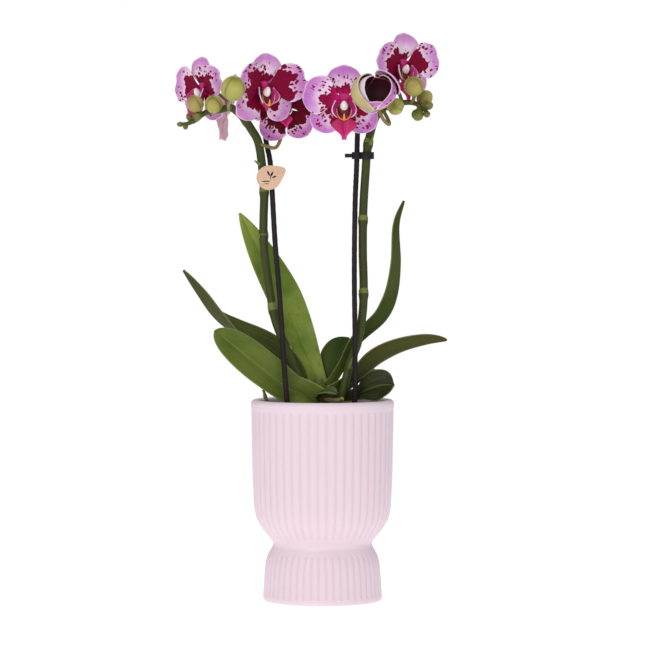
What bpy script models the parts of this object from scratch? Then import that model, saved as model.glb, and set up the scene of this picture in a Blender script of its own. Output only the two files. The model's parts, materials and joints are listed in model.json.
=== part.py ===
"""Moth orchid with two flowering stems, in a reeded cover pot with a narrow waist.

The frame stands on the middle of the pot's foot: +X to the right, -Y to the front, +Z up.
Every length is in metres.  The plant's places are written in millimetres from the middle
of the pot's rim, and plant() turns them into the frame, so the plant follows the pot.
"""
import math

import bmesh
import bpy
from mathutils import Matrix, Vector

OBJECT_NAME = "potted_orchid"
MM = 0.001
GAP = 0.0003                      # clearance between pieces that touch

# Cover pot
POT_HEIGHT = 0.145
RIM_RADIUS = 0.0516
WAIST_RADIUS = 0.0358
FOOT_RADIUS = 0.0429
WAIST_HEIGHT = 0.0413
POT_WALL = 0.005
POT_FLOOR = 0.006
FOOT_EDGE = 0.0012                # rounding of the outer edge it stands on
POT_STEPS = 40

# Inner nursery pot and its bark
NURSERY_WALL = 0.0009
NURSERY_DROP = 0.009              # its rim below the cover pot's rim
NURSERY_CLEARANCE = 0.0016
NURSERY_FOOT = 0.72               # foot radius as a share of its own rim radius
BARK_CROWN = 0.008                # how far the bark is heaped above the nursery rim
CHIP_LIFT = 0.0012                # a loose chip's middle above the heap

# Plant
PLANT_SCALE = 1.0
STEM_RADIUS = 0.0029
PEDICEL_RADIUS = 0.0013
CROWN_RADIUS = 0.0068
LEAF_THICKNESS = 0.0017
TEPAL_THICKNESS = 0.0007
COLUMN_RADIUS = 0.0019
PETAL_REACH = 0.0305              # from the middle of the flower to the petal's end
PETAL_WIDTH = 0.0290
PETAL_RISE = 18                   # degrees that a petal points above the level
DORSAL_REACH = 0.0262
DORSAL_WIDTH = 0.0260
LATERAL_REACH = 0.0290
LATERAL_WIDTH = 0.0235
LIP_WIDTH = 0.0165
LIP_LOBE_RISE = 0.0080
LAYER_STEP = 0.0011               # petals stand this far in front of the sepals

# Supports and tag
STAKE_RADIUS = 0.0019
STAKE_SPACING = 0.0048            # the two radii that the stakes' routes are laid out for
STAKE_DEPTH = 0.070               # length pushed into the bark
STAKE_TUCK = 0.75                 # its foot leans in, to this share of its radius
CLIP_HEIGHT = 0.0050
CLIP_WALL = 0.0015
CLIP_SLACK = 0.0006               # room for the stem's lean inside its ring
TAG_RADIUS = 0.0088
TAG_THICKNESS = 0.0010
TAG_CLEARANCE = 0.0007


def clear_scene():
    for item in list(bpy.data.objects):
        bpy.data.objects.remove(item, do_unlink=True)


def new_collection(name):
    group = bpy.data.collections.new(name)
    bpy.context.scene.collection.children.link(group)
    return group


def new_material(name, colour, roughness, metallic=0.0):
    material = bpy.data.materials.new(name)
    material.use_nodes = True
    shader = material.node_tree.nodes["Principled BSDF"]
    shader.inputs["Base Color"].default_value = (*colour, 1.0)
    shader.inputs["Roughness"].default_value = roughness
    shader.inputs["Metallic"].default_value = metallic
    return material


def add_mesh(name, bm, material, collection, smooth=True):
    mesh = bpy.data.meshes.new(name)
    bm.to_mesh(mesh)
    bm.free()
    piece = bpy.data.objects.new(name, mesh)
    collection.objects.link(piece)
    if smooth:
        mesh.shade_smooth()
        mesh.set_sharp_from_angle(angle=math.radians(40))
    mesh.materials.append(material)
    return piece


def hide_cutter(piece):
    piece.hide_render = True
    piece.display_type = 'WIRE'
    return piece


def lathe(name, profile, steps, material, collection):
    """Turn an open profile of (radius, height) pairs, with both ends on the axis, about Z."""
    bm = bmesh.new()
    points = [bm.verts.new((radius, 0.0, height)) for radius, height in profile]
    for first, second in zip(points, points[1:]):
        bm.edges.new((first, second))
    piece = add_mesh(name, bm, material, collection, smooth=False)
    screw = piece.modifiers.new("turn", 'SCREW')
    screw.steps = screw.render_steps = steps
    screw.use_merge_vertices = True
    screw.merge_threshold = 0.00001
    screw.use_smooth_shade = True
    return piece


def smooth_route(points, count):
    """Points evenly counted along a Catmull-Rom curve through the given points."""
    ends = [2 * points[0] - points[1], *points, 2 * points[-1] - points[-2]]
    route = []
    for index in range(count):
        place = index / (count - 1) * (len(points) - 1)
        span = min(int(place), len(points) - 2)
        t = place - span
        a, b, c, d = ends[span:span + 4]
        route.append(0.5 * ((2 * b) + (c - a) * t + (2 * a - 5 * b + 4 * c - d) * t * t
                            + (3 * b - a - 3 * c + d) * t ** 3))
    return route


def tube_mesh(name, route, radii, material, collection, resolution=2):
    """A capped round tube along a route, made a welded mesh so that Booleans accept it."""
    curve = bpy.data.curves.new(name, 'CURVE')
    curve.dimensions = '3D'
    curve.bevel_depth = 1.0
    curve.bevel_resolution = resolution
    curve.use_fill_caps = True
    spline = curve.splines.new('POLY')
    spline.points.add(len(route) - 1)
    for point, place, radius in zip(spline.points, route, radii):
        point.co = (*place, 1.0)
        point.radius = radius
    guide = bpy.data.objects.new(name + "_route", curve)
    collection.objects.link(guide)
    bpy.context.view_layer.update()
    shape = guide.evaluated_get(bpy.context.evaluated_depsgraph_get())
    mesh = bpy.data.meshes.new_from_object(shape)
    bm = bmesh.new()
    bm.from_mesh(mesh)
    bmesh.ops.remove_doubles(bm, verts=bm.verts, dist=0.00001)
    bmesh.ops.recalc_face_normals(bm, faces=bm.faces)
    place = guide.matrix_world.copy()
    bpy.data.objects.remove(guide, do_unlink=True)
    piece = add_mesh(name, bm, material, collection)
    piece.matrix_world = place
    return piece


def boolean(piece, operation, operand):
    """Join or cut a piece with another object, or with every object of a collection."""
    step = piece.modifiers.new(operation.lower(), 'BOOLEAN')
    step.operation = operation
    step.solver = 'EXACT'
    if isinstance(operand, bpy.types.Collection):
        step.operand_type = 'COLLECTION'
        step.collection = operand
    else:
        step.object = operand


def ellipsoid(name, centre, size, material, collection, axis=(0, 0, 1), segments=10, rings=7):
    """A bud or knob: a sphere stretched to (across, along) and turned so +Z lies on axis."""
    across, along = size
    bm = bmesh.new()
    turn = Vector(axis).to_track_quat('Z', 'Y').to_matrix().to_4x4()
    shape = Matrix.Diagonal((across / 2, across / 2, along / 2, 1.0))
    bmesh.ops.create_uvsphere(bm, u_segments=segments, v_segments=rings, radius=1.0,
                              matrix=Matrix.Translation(centre) @ turn @ shape)
    return add_mesh(name, bm, material, collection)


def blend(low, high, t):
    return low + (high - low) * t


def ease(t):
    t = min(max(t, 0.0), 1.0)
    return t * t * (3 - 2 * t)


def plant(x, y, z):
    """A place on the plant, from millimetres measured from the middle of the pot's rim."""
    return Vector((x, y, z)) * MM * PLANT_SCALE + Vector((0, 0, POT_HEIGHT))


def plant_route(places, count):
    return smooth_route([plant(*place) for place in places], count)


# --------------------------------------------------------------------------- pot and bark

POT_OUTLINE = (                    # share of the radius named, height
    ("rim", 1.0, 0.985), ("rim", 0.992, 0.94), ("rim", 0.976, 0.607), ("rim", 0.962, 0.486),
    ("rim", 0.941, 0.433), ("rim", 0.897, 0.388), ("rim", 0.794, 0.334), ("waist", 1.04, 0.303),
    ("waist", 1.0, None),
)
FOOT_OUTLINE = (                   # share of foot radius, share of waist height
    (0.862, 0.908), (0.930, 0.775), (0.965, 0.639), (0.984, 0.373), (1.0, 0.107),
)


def pot_outer_profile():
    """The outside of the cover pot from the rim down to the edge of the foot."""
    named = {"rim": RIM_RADIUS, "waist": WAIST_RADIUS}
    bowl = [(named[key] * share, POT_HEIGHT * height if height else WAIST_HEIGHT)
            for key, share, height in POT_OUTLINE]
    foot = [(FOOT_RADIUS * share, WAIST_HEIGHT * height) for share, height in FOOT_OUTLINE]
    return bowl + foot


def bowl_inner_radius(height):
    """Inner radius of the cover pot's bowl at a height above the waist."""
    outline = pot_outer_profile()[:len(POT_OUTLINE)]
    for (upper_r, upper_z), (lower_r, lower_z) in zip(outline, outline[1:]):
        if lower_z <= height <= upper_z:
            t = (height - lower_z) / (upper_z - lower_z)
            return blend(lower_r, upper_r, t) - POT_WALL
    return outline[-1][0] - POT_WALL


def build_ceramic_pot(material, collection):
    outer = pot_outer_profile()
    foot_edge = [(FOOT_RADIUS - FOOT_EDGE * 0.35, FOOT_EDGE * 0.5), (FOOT_RADIUS - FOOT_EDGE, 0.0),
                 (0.0, 0.0)]
    inner = [(0.0, POT_FLOOR)]
    for radius, height in reversed(outer[1::2]):
        if height > POT_FLOOR + 0.002:
            inner.append((radius - POT_WALL, height))
    inner.insert(1, (inner[1][0] - 0.002, POT_FLOOR))
    top = POT_HEIGHT
    inner += [(RIM_RADIUS - POT_WALL, top - 0.0018), (RIM_RADIUS - POT_WALL * 0.8, top - 0.0005),
              (RIM_RADIUS - POT_WALL * 0.5, top), (RIM_RADIUS - POT_WALL * 0.2, top - 0.0005)]
    return lathe("ceramic_pot", inner + outer + foot_edge, POT_STEPS, material, collection)


def nursery_radii():
    """Outer radius of the nursery pot at its rim and at its foot, and their heights."""
    rim_z = POT_HEIGHT - NURSERY_DROP
    rim_r = bowl_inner_radius(POT_HEIGHT * 0.607) - NURSERY_CLEARANCE
    foot_r = rim_r * NURSERY_FOOT
    foot_z = WAIST_HEIGHT
    while bowl_inner_radius(foot_z) < foot_r + GAP and foot_z < rim_z:
        foot_z += 0.0001
    return rim_r, rim_z, foot_r, foot_z + GAP


def build_nursery_pot(material, collection):
    rim_r, rim_z, foot_r, foot_z = nursery_radii()
    wall = NURSERY_WALL
    profile = [(0.0, foot_z + wall), (foot_r - wall, foot_z + wall), (rim_r - wall, rim_z),
               (rim_r, rim_z), (foot_r, foot_z), (0.0, foot_z)]
    return lathe("nursery_pot", profile, 32, material, collection)


def bark_height(radius):
    """Height of the heaped bark at a distance from the pot's axis."""
    rim_r, rim_z, _, _ = nursery_radii()
    return rim_z - 0.001 + BARK_CROWN * (1 - (radius / rim_r) ** 2)


BARK_CHIPS = (                     # x, y, length in mm, turn in degrees
    (23.0, -27.0, 13.0, 20), (33.0, -20.0, 11.0, -35), (5.5, -33.0, 9.0, 8),
    (-13.0, -30.0, 13.0, -15), (-31.0, 14.0, 12.0, 40), (12.0, 30.0, 12.0, 10),
    (-16.0, 28.0, 13.0, -50), (33.0, 12.0, 12.0, 80),
)


def build_bark(material, collection, cutters):
    rim_r, rim_z, foot_r, foot_z = nursery_radii()
    side = NURSERY_WALL + GAP
    floor_z = foot_z + NURSERY_WALL + GAP
    heap = [(rim_r * share, bark_height(rim_r * share)) for share in (0.3, 0.55, 0.75, 0.9)]
    edge_z = rim_z - 0.002
    profile = [(0.0, bark_height(0.0)), *heap, (rim_r - side - 0.0004, edge_z),
               (foot_r - side, floor_z), (0.0, floor_z)]
    bark = lathe("bark_substrate", profile, 24, material, collection)
    chips = new_collection("bark_chips")
    for number, (x, y, length, turn) in enumerate(BARK_CHIPS):
        bm = bmesh.new()
        radial = Vector((x, y)) * MM
        reach = min(radial.length, rim_r * 0.78)
        radial = radial.normalized() * reach
        place = Matrix.Translation((radial.x, radial.y, bark_height(reach) + CHIP_LIFT))
        lean = Matrix.Rotation(math.radians(14), 4, 'X')
        spin = Matrix.Rotation(math.radians(turn), 4, 'Z')
        size = Matrix.Diagonal((length * MM, 0.0075, 0.0055, 1.0))
        bmesh.ops.create_cube(bm, size=1.0, matrix=place @ spin @ lean @ size)
        hide_cutter(add_mesh(f"chip_{number}", bm, material, chips, smooth=False))
    boolean(bark, 'UNION', chips)
    for cutter in cutters.objects:
        boolean(bark, 'DIFFERENCE', cutter)
    return bark


# ------------------------------------------------------------------------ crown and leaves

CROWN_ROUTE = ((-2, 0, -16), (-2, 0, -6), (-2.5, 0, 6), (-3, 0, 14))
SOCKET_FOOT = (-2, 0, -17)
TAN_ROOT = ((-6, 3, 0), (-18, 6, -1.4), (-30, 2, -3.4), (-39, -3, -2), (-42.6, -6, 7))
GREEN_ROOT = ((1, -4, 0), (8.5, -12, 0), (13, -21, 0.5), (14, -28.5, 2))
FORK_ROOT = ((-30, 2, -3.4), (-36, 6, -4), (-41, 7, -4.6))


def build_crown(material, collection, cutters):
    route = plant_route(CROWN_ROUTE, 6)
    radii = [CROWN_RADIUS * share for share in (0.8, 1.0, 1.0, 0.95, 0.85, 0.55)]
    crown = tube_mesh("plant_crown", route, radii, material, collection, resolution=3)
    roots = new_collection("aerial_roots")
    for name, places, radius in (("tan_root", TAN_ROOT, 0.0014), ("green_root", GREEN_ROOT, 0.0015),
                                 ("fork_root", FORK_ROOT, 0.0011)):
        path = plant_route(places, 9)
        widths = [radius * (1.0 if index < 8 else 0.6) for index in range(9)]
        hide_cutter(tube_mesh(name, path, widths, material, roots))
    boolean(crown, 'UNION', roots)
    socket = [plant(*SOCKET_FOOT)] + route[1:]
    socket_radii = [CROWN_RADIUS + GAP * 2] * 6
    hide_cutter(tube_mesh("crown_socket", socket, socket_radii, material, cutters, resolution=3))
    return crown


LEAVES = {
    # name: (spine places, width in mm, upper-face direction at the base and at the tip, fold)
    "leaf_front_left": (((-15, -10.5, 4.5), (-25, -13, 9), (-45, -16, 24), (-62, -17, 38), (-77, -17, 50)),
                        27, (0.3, -1, 0.35), (0.25, -1, 0.25), 0.10),
    "leaf_long_left": (((-13.5, 3, 7), (-21, 5, 20), (-38, 5, 36), (-63, 5, 48), (-78, 3, 60),
                        (-90, 1, 77), (-100, 0, 93)),
                       22, (-0.2, -0.9, 0.5), (0.75, 0.45, 0.75), 0.30),
    "leaf_upright_left": (((-3, 10.5, 9), (-12, 14, 34), (-27, 16, 70), (-44, 15, 103), (-60, 11, 134)),
                          26, (0.3, -1, 0.1), (0.3, -1, 0.1), 0.16),
    "leaf_wavy_right": (((6, 8, 7), (16, 12, 23.5), (27, 14, 41), (45, 14, 57), (53, 13, 74),
                         (55.5, 12, 98), (54.5, 11, 125), (58.6, 10, 143)),
                        23, (-0.5, 0.55, 1.0), (-0.95, -0.1, 0.3), 0.30),
    "leaf_right": (((7, 1, 5), (17, 5, 12), (28, 7, 17), (41, 7, 27), (56, 5, 35), (74, 2, 40.5),
                    (89.4, -1, 43)),
                   25, (-0.2, 0.45, 1.0), (0.0, 0.5, 1.0), 0.22),
    "leaf_low_right": (((25, -3, 3.5), (33, -6, 7.5), (42, -9, 10.5), (51, -12, 11)),
                       24, (0.0, -1.0, 0.5), (0.1, -1.0, 0.4), 0.12),
    "leaf_back_middle": (((6, 15.5, 11), (9, 20, 22), (13, 25, 33), (19, 29, 43)),
                         24, (-0.5, 0.9, 0.3), (-0.4, 0.9, 0.2), 0.25),
    "leaf_back_right": (((10, 15.5, 0), (20, 20.5, 8.5), (31, 23.5, 15.5), (42, 24.5, 17.5)),
                        23, (-0.2, -0.4, 1.0), (0.1, -0.2, 1.0), 0.20),
    "leaf_low_front": (((-3, -10, 2), (0, -15, 5.5), (5, -19, 6.5), (10, -23, 5)),
                       11, (0.0, -0.6, 1.0), (0.2, -0.6, 1.0), 0.15),
}
LEAF_STEPS = 11
LEAF_BASE_SHARE = 0.38             # width at the foot of a leaf as a share of its full width


def leaf_width_share(t):
    """Width along a leaf: narrow at its foot, widest past the middle, rounded at its end."""
    swell = blend(LEAF_BASE_SHARE, 1.0, ease(t / 0.55))
    return swell * math.sqrt(max(1 - (max(t - 0.55, 0) / 0.47) ** 2.6, 0.0025))


def build_leaf(name, spine, width, face_base, face_tip, fold, material, collection):
    rows = plant_route(spine, LEAF_STEPS + 1)
    bm = bmesh.new()
    bmesh.ops.create_grid(bm, x_segments=4, y_segments=LEAF_STEPS, size=1.0)
    for vert in bm.verts:
        across, t = vert.co.x, (vert.co.y + 1) / 2
        row = round(t * LEAF_STEPS)
        ahead = rows[min(row + 1, LEAF_STEPS)] - rows[max(row - 1, 0)]
        ahead.normalize()
        face = Vector(face_base).lerp(Vector(face_tip), t)
        face = (face - ahead * face.dot(ahead)).normalized()
        side = ahead.cross(face)
        half = width * MM * PLANT_SCALE / 2 * leaf_width_share(t)
        vert.co = rows[row] + side * across * half + face * abs(across) ** 1.4 * fold * half * 2
    leaf = add_mesh(name, bm, material, collection)
    shell = leaf.modifiers.new("thickness", 'SOLIDIFY')
    shell.thickness = LEAF_THICKNESS
    shell.offset = 0.0
    return leaf


# -------------------------------------------------------------------------------- flowers

FLOWERS = {
    # name: (middle in mm, turn to the right, nod, roll, petal cup, lateral spread, scale, lip share)
    "flower_a": ((-86.4, 26, 223), -50, 2, 0, 12, 45, 0.92, 1.0),
    "flower_b": ((-70.0, 50, 212), -100, -12, 0, 4, 26, 0.92, 0.5),
    "flower_c": ((-43.0, -15.5, 222.5), 35, 3, 0, 27, 48, 0.98, 0.6),
    "flower_d": ((-27.5, 5, 210.5), 4, 8, 6, 6, 34, 0.92, 0.6),
    "flower_e": ((15.4, -23, 213.6), 0, 12, 0, 8, 48, 1.0, 1.0),
    "flower_f": ((57.0, 8, 239.5), 34, 4, 0, 18, 46, 0.92, 1.0),
}
COLUMN_ROUTE = ((0.0, -2.0), (-0.2, 1.0), (-1.6, 4.2), (-3.2, 6.8))   # up and out, in mm
LIP_ROUTE = ((-5.8, 2.4), (-9.6, 6.6), (-13.6, 9.2), (-19.0, 11.4), (-24.5, 12.4))
COLUMN_CLEAR = 0.0006
CLAW_SHARE = 0.34                  # width where a tepal leaves the column, as a share


def flower_matrix(middle, turn, nod, roll):
    """Flower frame: +X to its right, +Y up, +Z out of its face, as its viewer sees it."""
    upright = Matrix(((1, 0, 0), (0, 0, -1), (0, 1, 0))).to_4x4()
    heading = Matrix.Rotation(math.radians(turn), 4, 'Z')
    bow = Matrix.Rotation(math.radians(nod), 4, 'X')
    spin = Matrix.Rotation(math.radians(roll), 4, 'Z')
    return Matrix.Translation(plant(*middle)) @ heading @ bow @ upright @ spin


def disc_point(a, b):
    """Map a point of the square -1..1 onto the unit disc."""
    return a * math.sqrt(1 - b * b / 2), b * math.sqrt(1 - a * a / 2)


def build_tepal(name, frame, angle, reach, width, layer, cup, keep_side, material, collection):
    """A sepal or petal: a rounded blade on a narrow claw, in its flower's frame."""
    start = COLUMN_RADIUS + COLUMN_CLEAR
    length = reach - start
    turn = math.radians(angle)
    along_x, along_y = math.cos(turn), math.sin(turn)
    bm = bmesh.new()
    bmesh.ops.create_grid(bm, x_segments=4, y_segments=5, size=1.0)
    for vert in bm.verts:
        p, q = disc_point(vert.co.x, vert.co.y)
        t = (q + 1) / 2
        along = start + length * t
        across = p * width / 2 * blend(CLAW_SHARE, 1.0, ease(t / 0.55))
        lift = layer + math.tan(math.radians(cup)) * along - 0.10 * along * t * t
        trough = 0.25 * across * across / width
        x = along * along_x - across * along_y
        y = along * along_y + across * along_x
        if keep_side:
            x = keep_side * max(keep_side * x, GAP + TEPAL_THICKNESS / 2)
        vert.co = frame @ Vector((x, y, lift + trough))
    tepal = add_mesh(name, bm, material, collection)
    shell = tepal.modifiers.new("thickness", 'SOLIDIFY')
    shell.thickness = TEPAL_THICKNESS
    shell.offset = 0.0
    return tepal


def lip_place(t, scale):
    """Up and out of the flower, for a share of the way along the lip."""
    spine = [Vector((0.0, up, out)) * MM * scale for up, out in LIP_ROUTE]
    place = t * (len(spine) - 1)
    first = min(int(place), len(spine) - 2)
    return spine[first].lerp(spine[first + 1], place - first)


def build_lip(name, frame, scale, material, collection):
    """The lip: a pointed tongue that hangs forward, with two raised lobes near its foot."""
    bm = bmesh.new()
    bmesh.ops.create_grid(bm, x_segments=6, y_segments=6, size=1.0)
    for vert in bm.verts:
        p, t = vert.co.x, (vert.co.y + 1) / 2
        lobe = math.exp(-((t - 0.36) / 0.15) ** 2) * ease((abs(p) - 0.4) / 0.6)
        width = blend(0.35, 1.0, ease(t / 0.62)) * blend(1.0, 0.14, ease((t - 0.62) / 0.40))
        across = p * LIP_WIDTH * scale * 0.5 * width + math.copysign(lobe, p) * 0.003 * scale
        rise = lobe * LIP_LOBE_RISE * scale
        place = lip_place(t, scale)
        vert.co = frame @ Vector((across, place.y + rise, place.z + rise * 0.2))
    lip = add_mesh(name, bm, material, collection)
    shell = lip.modifiers.new("thickness", 'SOLIDIFY')
    shell.thickness = TEPAL_THICKNESS
    shell.offset = 0.0
    return lip


def build_flower(name, middle, turn, nod, roll, cup, spread, share, lip_share, materials,
                 collection):
    frame = flower_matrix(middle, turn, nod, roll)
    scale = share * PLANT_SCALE
    sepal, petal, lip = materials["sepal"], materials["petal"], materials["lip"]
    build_tepal(f"{name}_dorsal_sepal", frame, 90, DORSAL_REACH * scale, DORSAL_WIDTH * scale,
                0.0, cup * 0.5, 0, sepal, collection)
    for side, word in ((-1, "left"), (1, "right")):
        build_tepal(f"{name}_lateral_sepal_{word}", frame, -90 + side * spread,
                    LATERAL_REACH * scale, LATERAL_WIDTH * scale, 0.0, cup * 0.3, side, sepal,
                    collection)
        angle = PETAL_RISE if side > 0 else 180 - PETAL_RISE
        build_tepal(f"{name}_petal_{word}", frame, angle, PETAL_REACH * scale,
                    PETAL_WIDTH * scale, LAYER_STEP, cup, side, petal, collection)
    build_lip(f"{name}_lip", frame, scale * lip_share, lip, collection)


# ------------------------------------------------------------- stems, buds and the supports

LEFT_STEM = (
    (-11, -4, 1.5), (-13, -4, 7), (-22.8, -4, 30), (-31.8, -3, 51), (-35.4, -2, 63.8),
    (-40.2, 0, 93), (-42.3, 0, 114), (-42.4, 1, 130), (-42, 2, 149), (-43.6, 2, 169),
    (-46.2, 2, 185), (-51, 3, 194), (-58, 3, 204), (-66, 3, 210), (-73, 2, 208.5),
    (-84.7, 1, 206), (-91.2, 0, 201), (-97, 0, 198.5), (-101, 0, 198),
)
RIGHT_STEM = (
    (11.5, -5, 0), (14, -5, 4), (19.7, -4, 25.6), (24.8, -3, 39), (27.3, -2, 51),
    (29.2, -1, 66), (29.6, 0, 84), (29, 0, 105), (29.1, 0, 128.6), (29.8, 0, 146),
    (31, 0, 164), (32, 0, 178), (34.3, 1, 191), (38.5, 2, 203), (45, 3, 210),
    (57.7, 3, 213.5), (66.5, 1, 213), (73, -1, 208.5), (76.5, -2, 205),
)
LEFT_NODES = ((-35.4, -2, 63.8), (-42.2, 0.2, 117.8), (-42, 2, 149.5))
RIGHT_NODES = ((29.8, -0.5, 75.7), (29.1, 0, 128.6), (33, 0.5, 183.5))
LEFT_PEDICELS = {
    "flower_a": ((-64, 3, 208.5), (-66, 10, 212), (-72, 18, 218), (-77.5, 26, 221.6)),
    "flower_b": ((-54, 3, 198), (-55, 15, 197), (-57, 30, 199), (-60.5, 43, 205)),
    "flower_c": ((-62, 3, 207.5), (-58, -2.5, 212), (-52, -5.5, 218), (-47.5, -7.5, 222)),
    "flower_d": ((-46, 1, 184), (-41, 0.5, 182.5), (-33, 11, 182), (-28, 20, 197)),
}
RIGHT_PEDICELS = {
    "flower_e": ((36.5, 1, 198), (31, 0, 207), (24, -5, 213), (17.5, -13, 216)),
    "flower_f": ((57.5, 3, 213.5), (54, 9, 224), (49, 15, 235), (49, 16, 240.4)),
}
OPENING_BUD_STALK = ((43.5, 2, 208.5), (47.5, -8, 200), (47, -20, 197.5), (42.5, -27.5, 202))
BUD_STALKS_LEFT = {
    "left_bud_large": ((-66, 3, 210), (-67, -10, 209), (-66.5, -30, 212)),
    "left_bud_middle": ((-77, 2, 207.5), (-77.4, -1.5, 205.8)),
}
BUD_STALKS_RIGHT = {
    "right_bud_large": ((63, 2, 213.5), (65, -1.5, 215)),
    "right_bud_middle": ((50, 3, 212), (51.5, -0.5, 211)),
}
BUDS = {
    # name: (middle in mm, across, along, where its tip points)
    "left_bud_large": ((-62.7, -53.5, 222.0), 17.5, 18.5, (0.1, -0.7, 0.9)),
    "left_bud_middle": ((-78, -11, 212), 13, 13.5, (-0.1, -0.7, 0.7)),
    "right_bud_large": ((65.5, -8, 225), 15, 14.5, (-0.1, -0.6, 0.8)),
    "right_bud_middle": ((52, -12.5, 210.5), 13, 14, (-0.1, -1.0, -0.1)),
}
OPENING_BUD = ((36.6, -42.5, 220), 31.5, 27, 25, (-0.12, -0.85, 0.5))
GROWN_BUDS_LEFT = (                 # small buds that are one piece with the stem
    ((-91.4, -6, 212.4), 12.5, 13, (-0.3, -0.5, 0.8)), ((-90, -4, 203.5), 7, 7.5, (0.2, -0.8, 0.2)),
    ((-95.8, -1, 203), 4.5, 6, (-0.4, -0.3, 0.9)), ((-98.4, -2, 196.2), 4, 4.5, (0, -0.5, -0.8)),
    ((-102.4, 0, 198), 4, 4.5, (-1, 0, 0)),
)
GROWN_BUDS_RIGHT = (
    ((73.7, 5, 216.8), 12, 12.5, (0.5, 0.5, 0.7)), ((76.2, -4, 211.3), 6.5, 7, (0.6, -0.8, 0.2)),
    ((68.3, -4, 204.6), 9, 9.5, (-0.1, -0.8, -0.5)), ((74.8, -4.5, 205), 5, 5.5, (0.3, -0.8, -0.3)),
)
GROWN_STALKS_LEFT = (((-87, 1, 205), (-89, -2, 207), (-90.5, -4, 209)),)
GROWN_STALKS_RIGHT = (
    ((68, 1, 213), (71, 4, 214), (73, 5, 215)), ((69, 0, 212), (68.5, -3, 208), (68.3, -4, 205)),
    ((73, -1, 208.5), (75, -3, 210), (76, -4, 211)),
)
BRACTS_LEFT = (((-42, 0.5, 114.5), (-45.5, -1, 118), (-46.6, -2, 122)),
               ((-43, 2, 168.5), (-46, 0, 170), (-49, -2, 172)))
BRACTS_RIGHT = (
    ((19, -5, 22), (21, -8, 27), (21.5, -8, 31)), ((33, 0, 182.5), (35, -3, 186), (36, -4, 190)),
)


def bud_foot(name):
    """Where a bud's stalk ends, just short of the bud."""
    if name == "opening_bud":
        centre, _, _, along, axis = OPENING_BUD
    else:
        centre, _, along, axis = BUDS[name]
    reach = along * MM * PLANT_SCALE / 2 + PEDICEL_RADIUS
    return plant(*centre) - Vector(axis).normalized() * reach


def stem_route(places):
    return plant_route(places, len(places) + 7)


def build_stem(name, places, nodes, pedicels, stalks, grown_stalks, grown_buds, bracts,
               material, collection):
    """A flower stem with its joints, stalks, columns and smallest buds, grown as one piece."""
    route = stem_route(places)
    last = len(route) - 1
    radii = [STEM_RADIUS * blend(1.05, 0.48, ease((index / last - 0.62) / 0.38))
             for index in range(last + 1)]
    stem = tube_mesh(name, route, radii, material, collection)
    growth = new_collection(name + "_growth")

    def grow(label, path, widths):
        hide_cutter(tube_mesh(label, path, widths, material, growth))

    for number, place in enumerate(nodes):
        centre = plant(*place)
        ring = ellipsoid(f"{name}_joint_{number}", centre, (STEM_RADIUS * 2.5, STEM_RADIUS * 2.2),
                         material, growth, segments=10, rings=6)
        hide_cutter(ring)
    for flower, path in pedicels.items():
        middle, turn, nod, roll, _, _, share, _ = FLOWERS[flower]
        frame = flower_matrix(middle, turn, nod, roll)
        back = frame @ Vector((0, 0, -0.0075))
        bend = smooth_route([plant(*place) for place in path] + [back], 6)
        column = [frame @ (Vector((0, up, out)) * MM * share) for up, out in COLUMN_ROUTE]
        widths = [PEDICEL_RADIUS] * len(bend) + [COLUMN_RADIUS * 0.9] + [COLUMN_RADIUS] * 2
        grow(f"{flower}_stalk", bend + column, widths + [COLUMN_RADIUS * 1.3])
    for label, path in stalks.items():
        places = [plant(*place) for place in path] + [bud_foot(label)]
        grow(f"{label}_stalk", smooth_route(places, 6), [PEDICEL_RADIUS] * 6)
    for number, path in enumerate(grown_stalks):
        grow(f"{name}_stalk_{number}", plant_route(path, 5), [PEDICEL_RADIUS * 0.9] * 5)
    for number, path in enumerate(bracts):
        widths = [PEDICEL_RADIUS * share for share in (1.3, 1.5, 1.1, 0.6, 0.3)]
        grow(f"{name}_bract_{number}", plant_route(path, 5), widths)
    for number, (place, across, along, tip) in enumerate(grown_buds):
        size = (across * MM * PLANT_SCALE, along * MM * PLANT_SCALE)
        hide_cutter(ellipsoid(f"{name}_bud_{number}", plant(*place), size, material, growth, tip,
                              segments=8, rings=6))
    boolean(stem, 'UNION', growth)
    return stem


def build_opening_bud(material, collection):
    """A flower bud that is just opening: a cupped shell, open towards the front."""
    centre, across, height, along, axis = OPENING_BUD
    middle, axis = plant(*centre), Vector(axis).normalized()
    turn = axis.to_track_quat('Z', 'Y').to_matrix().to_4x4()
    half_width, half_height, depth = (value * MM * PLANT_SCALE / 2
                                      for value in (across, height, along))
    bm = bmesh.new()
    shape = Matrix.Diagonal((half_width, half_height, depth, 1.0))
    bmesh.ops.create_uvsphere(bm, u_segments=14, v_segments=8, radius=1.0,
                              matrix=Matrix.Translation(middle) @ turn @ shape)
    plane = middle + axis * depth * 0.35
    cut = bmesh.ops.bisect_plane(bm, geom=bm.verts[:] + bm.edges[:] + bm.faces[:],
                                 plane_co=plane, plane_no=axis, clear_outer=True)
    assert cut["geom_cut"]
    cup = add_mesh("opening_bud", bm, material, collection)
    shell = cup.modifiers.new("thickness", 'SOLIDIFY')
    shell.thickness = 0.0012
    shell.offset = -1.0
    return cup


LEFT_STAKE = ((-25.3, -23, 0), (-27.5, -19.5, 26), (-29.1, -13, 51), (-31.4, -9.5, 83),
              (-34.1, -5, 114), (-36.0, 0.2, 146), (-37.6, 6, 170), (-40.4, 11.5, 184),
              (-41.3, 14, 190))
RIGHT_STAKE = ((23.1, -12, 0), (23.4, -10.5, 25), (23.3, -8.5, 51), (22.9, -6, 83),
               (23.0, -3, 114), (23.6, -1, 146), (24.4, 0, 164), (24.8, 0, 178), (25.2, 0, 195))
CLIP_Z = 175.5


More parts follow.
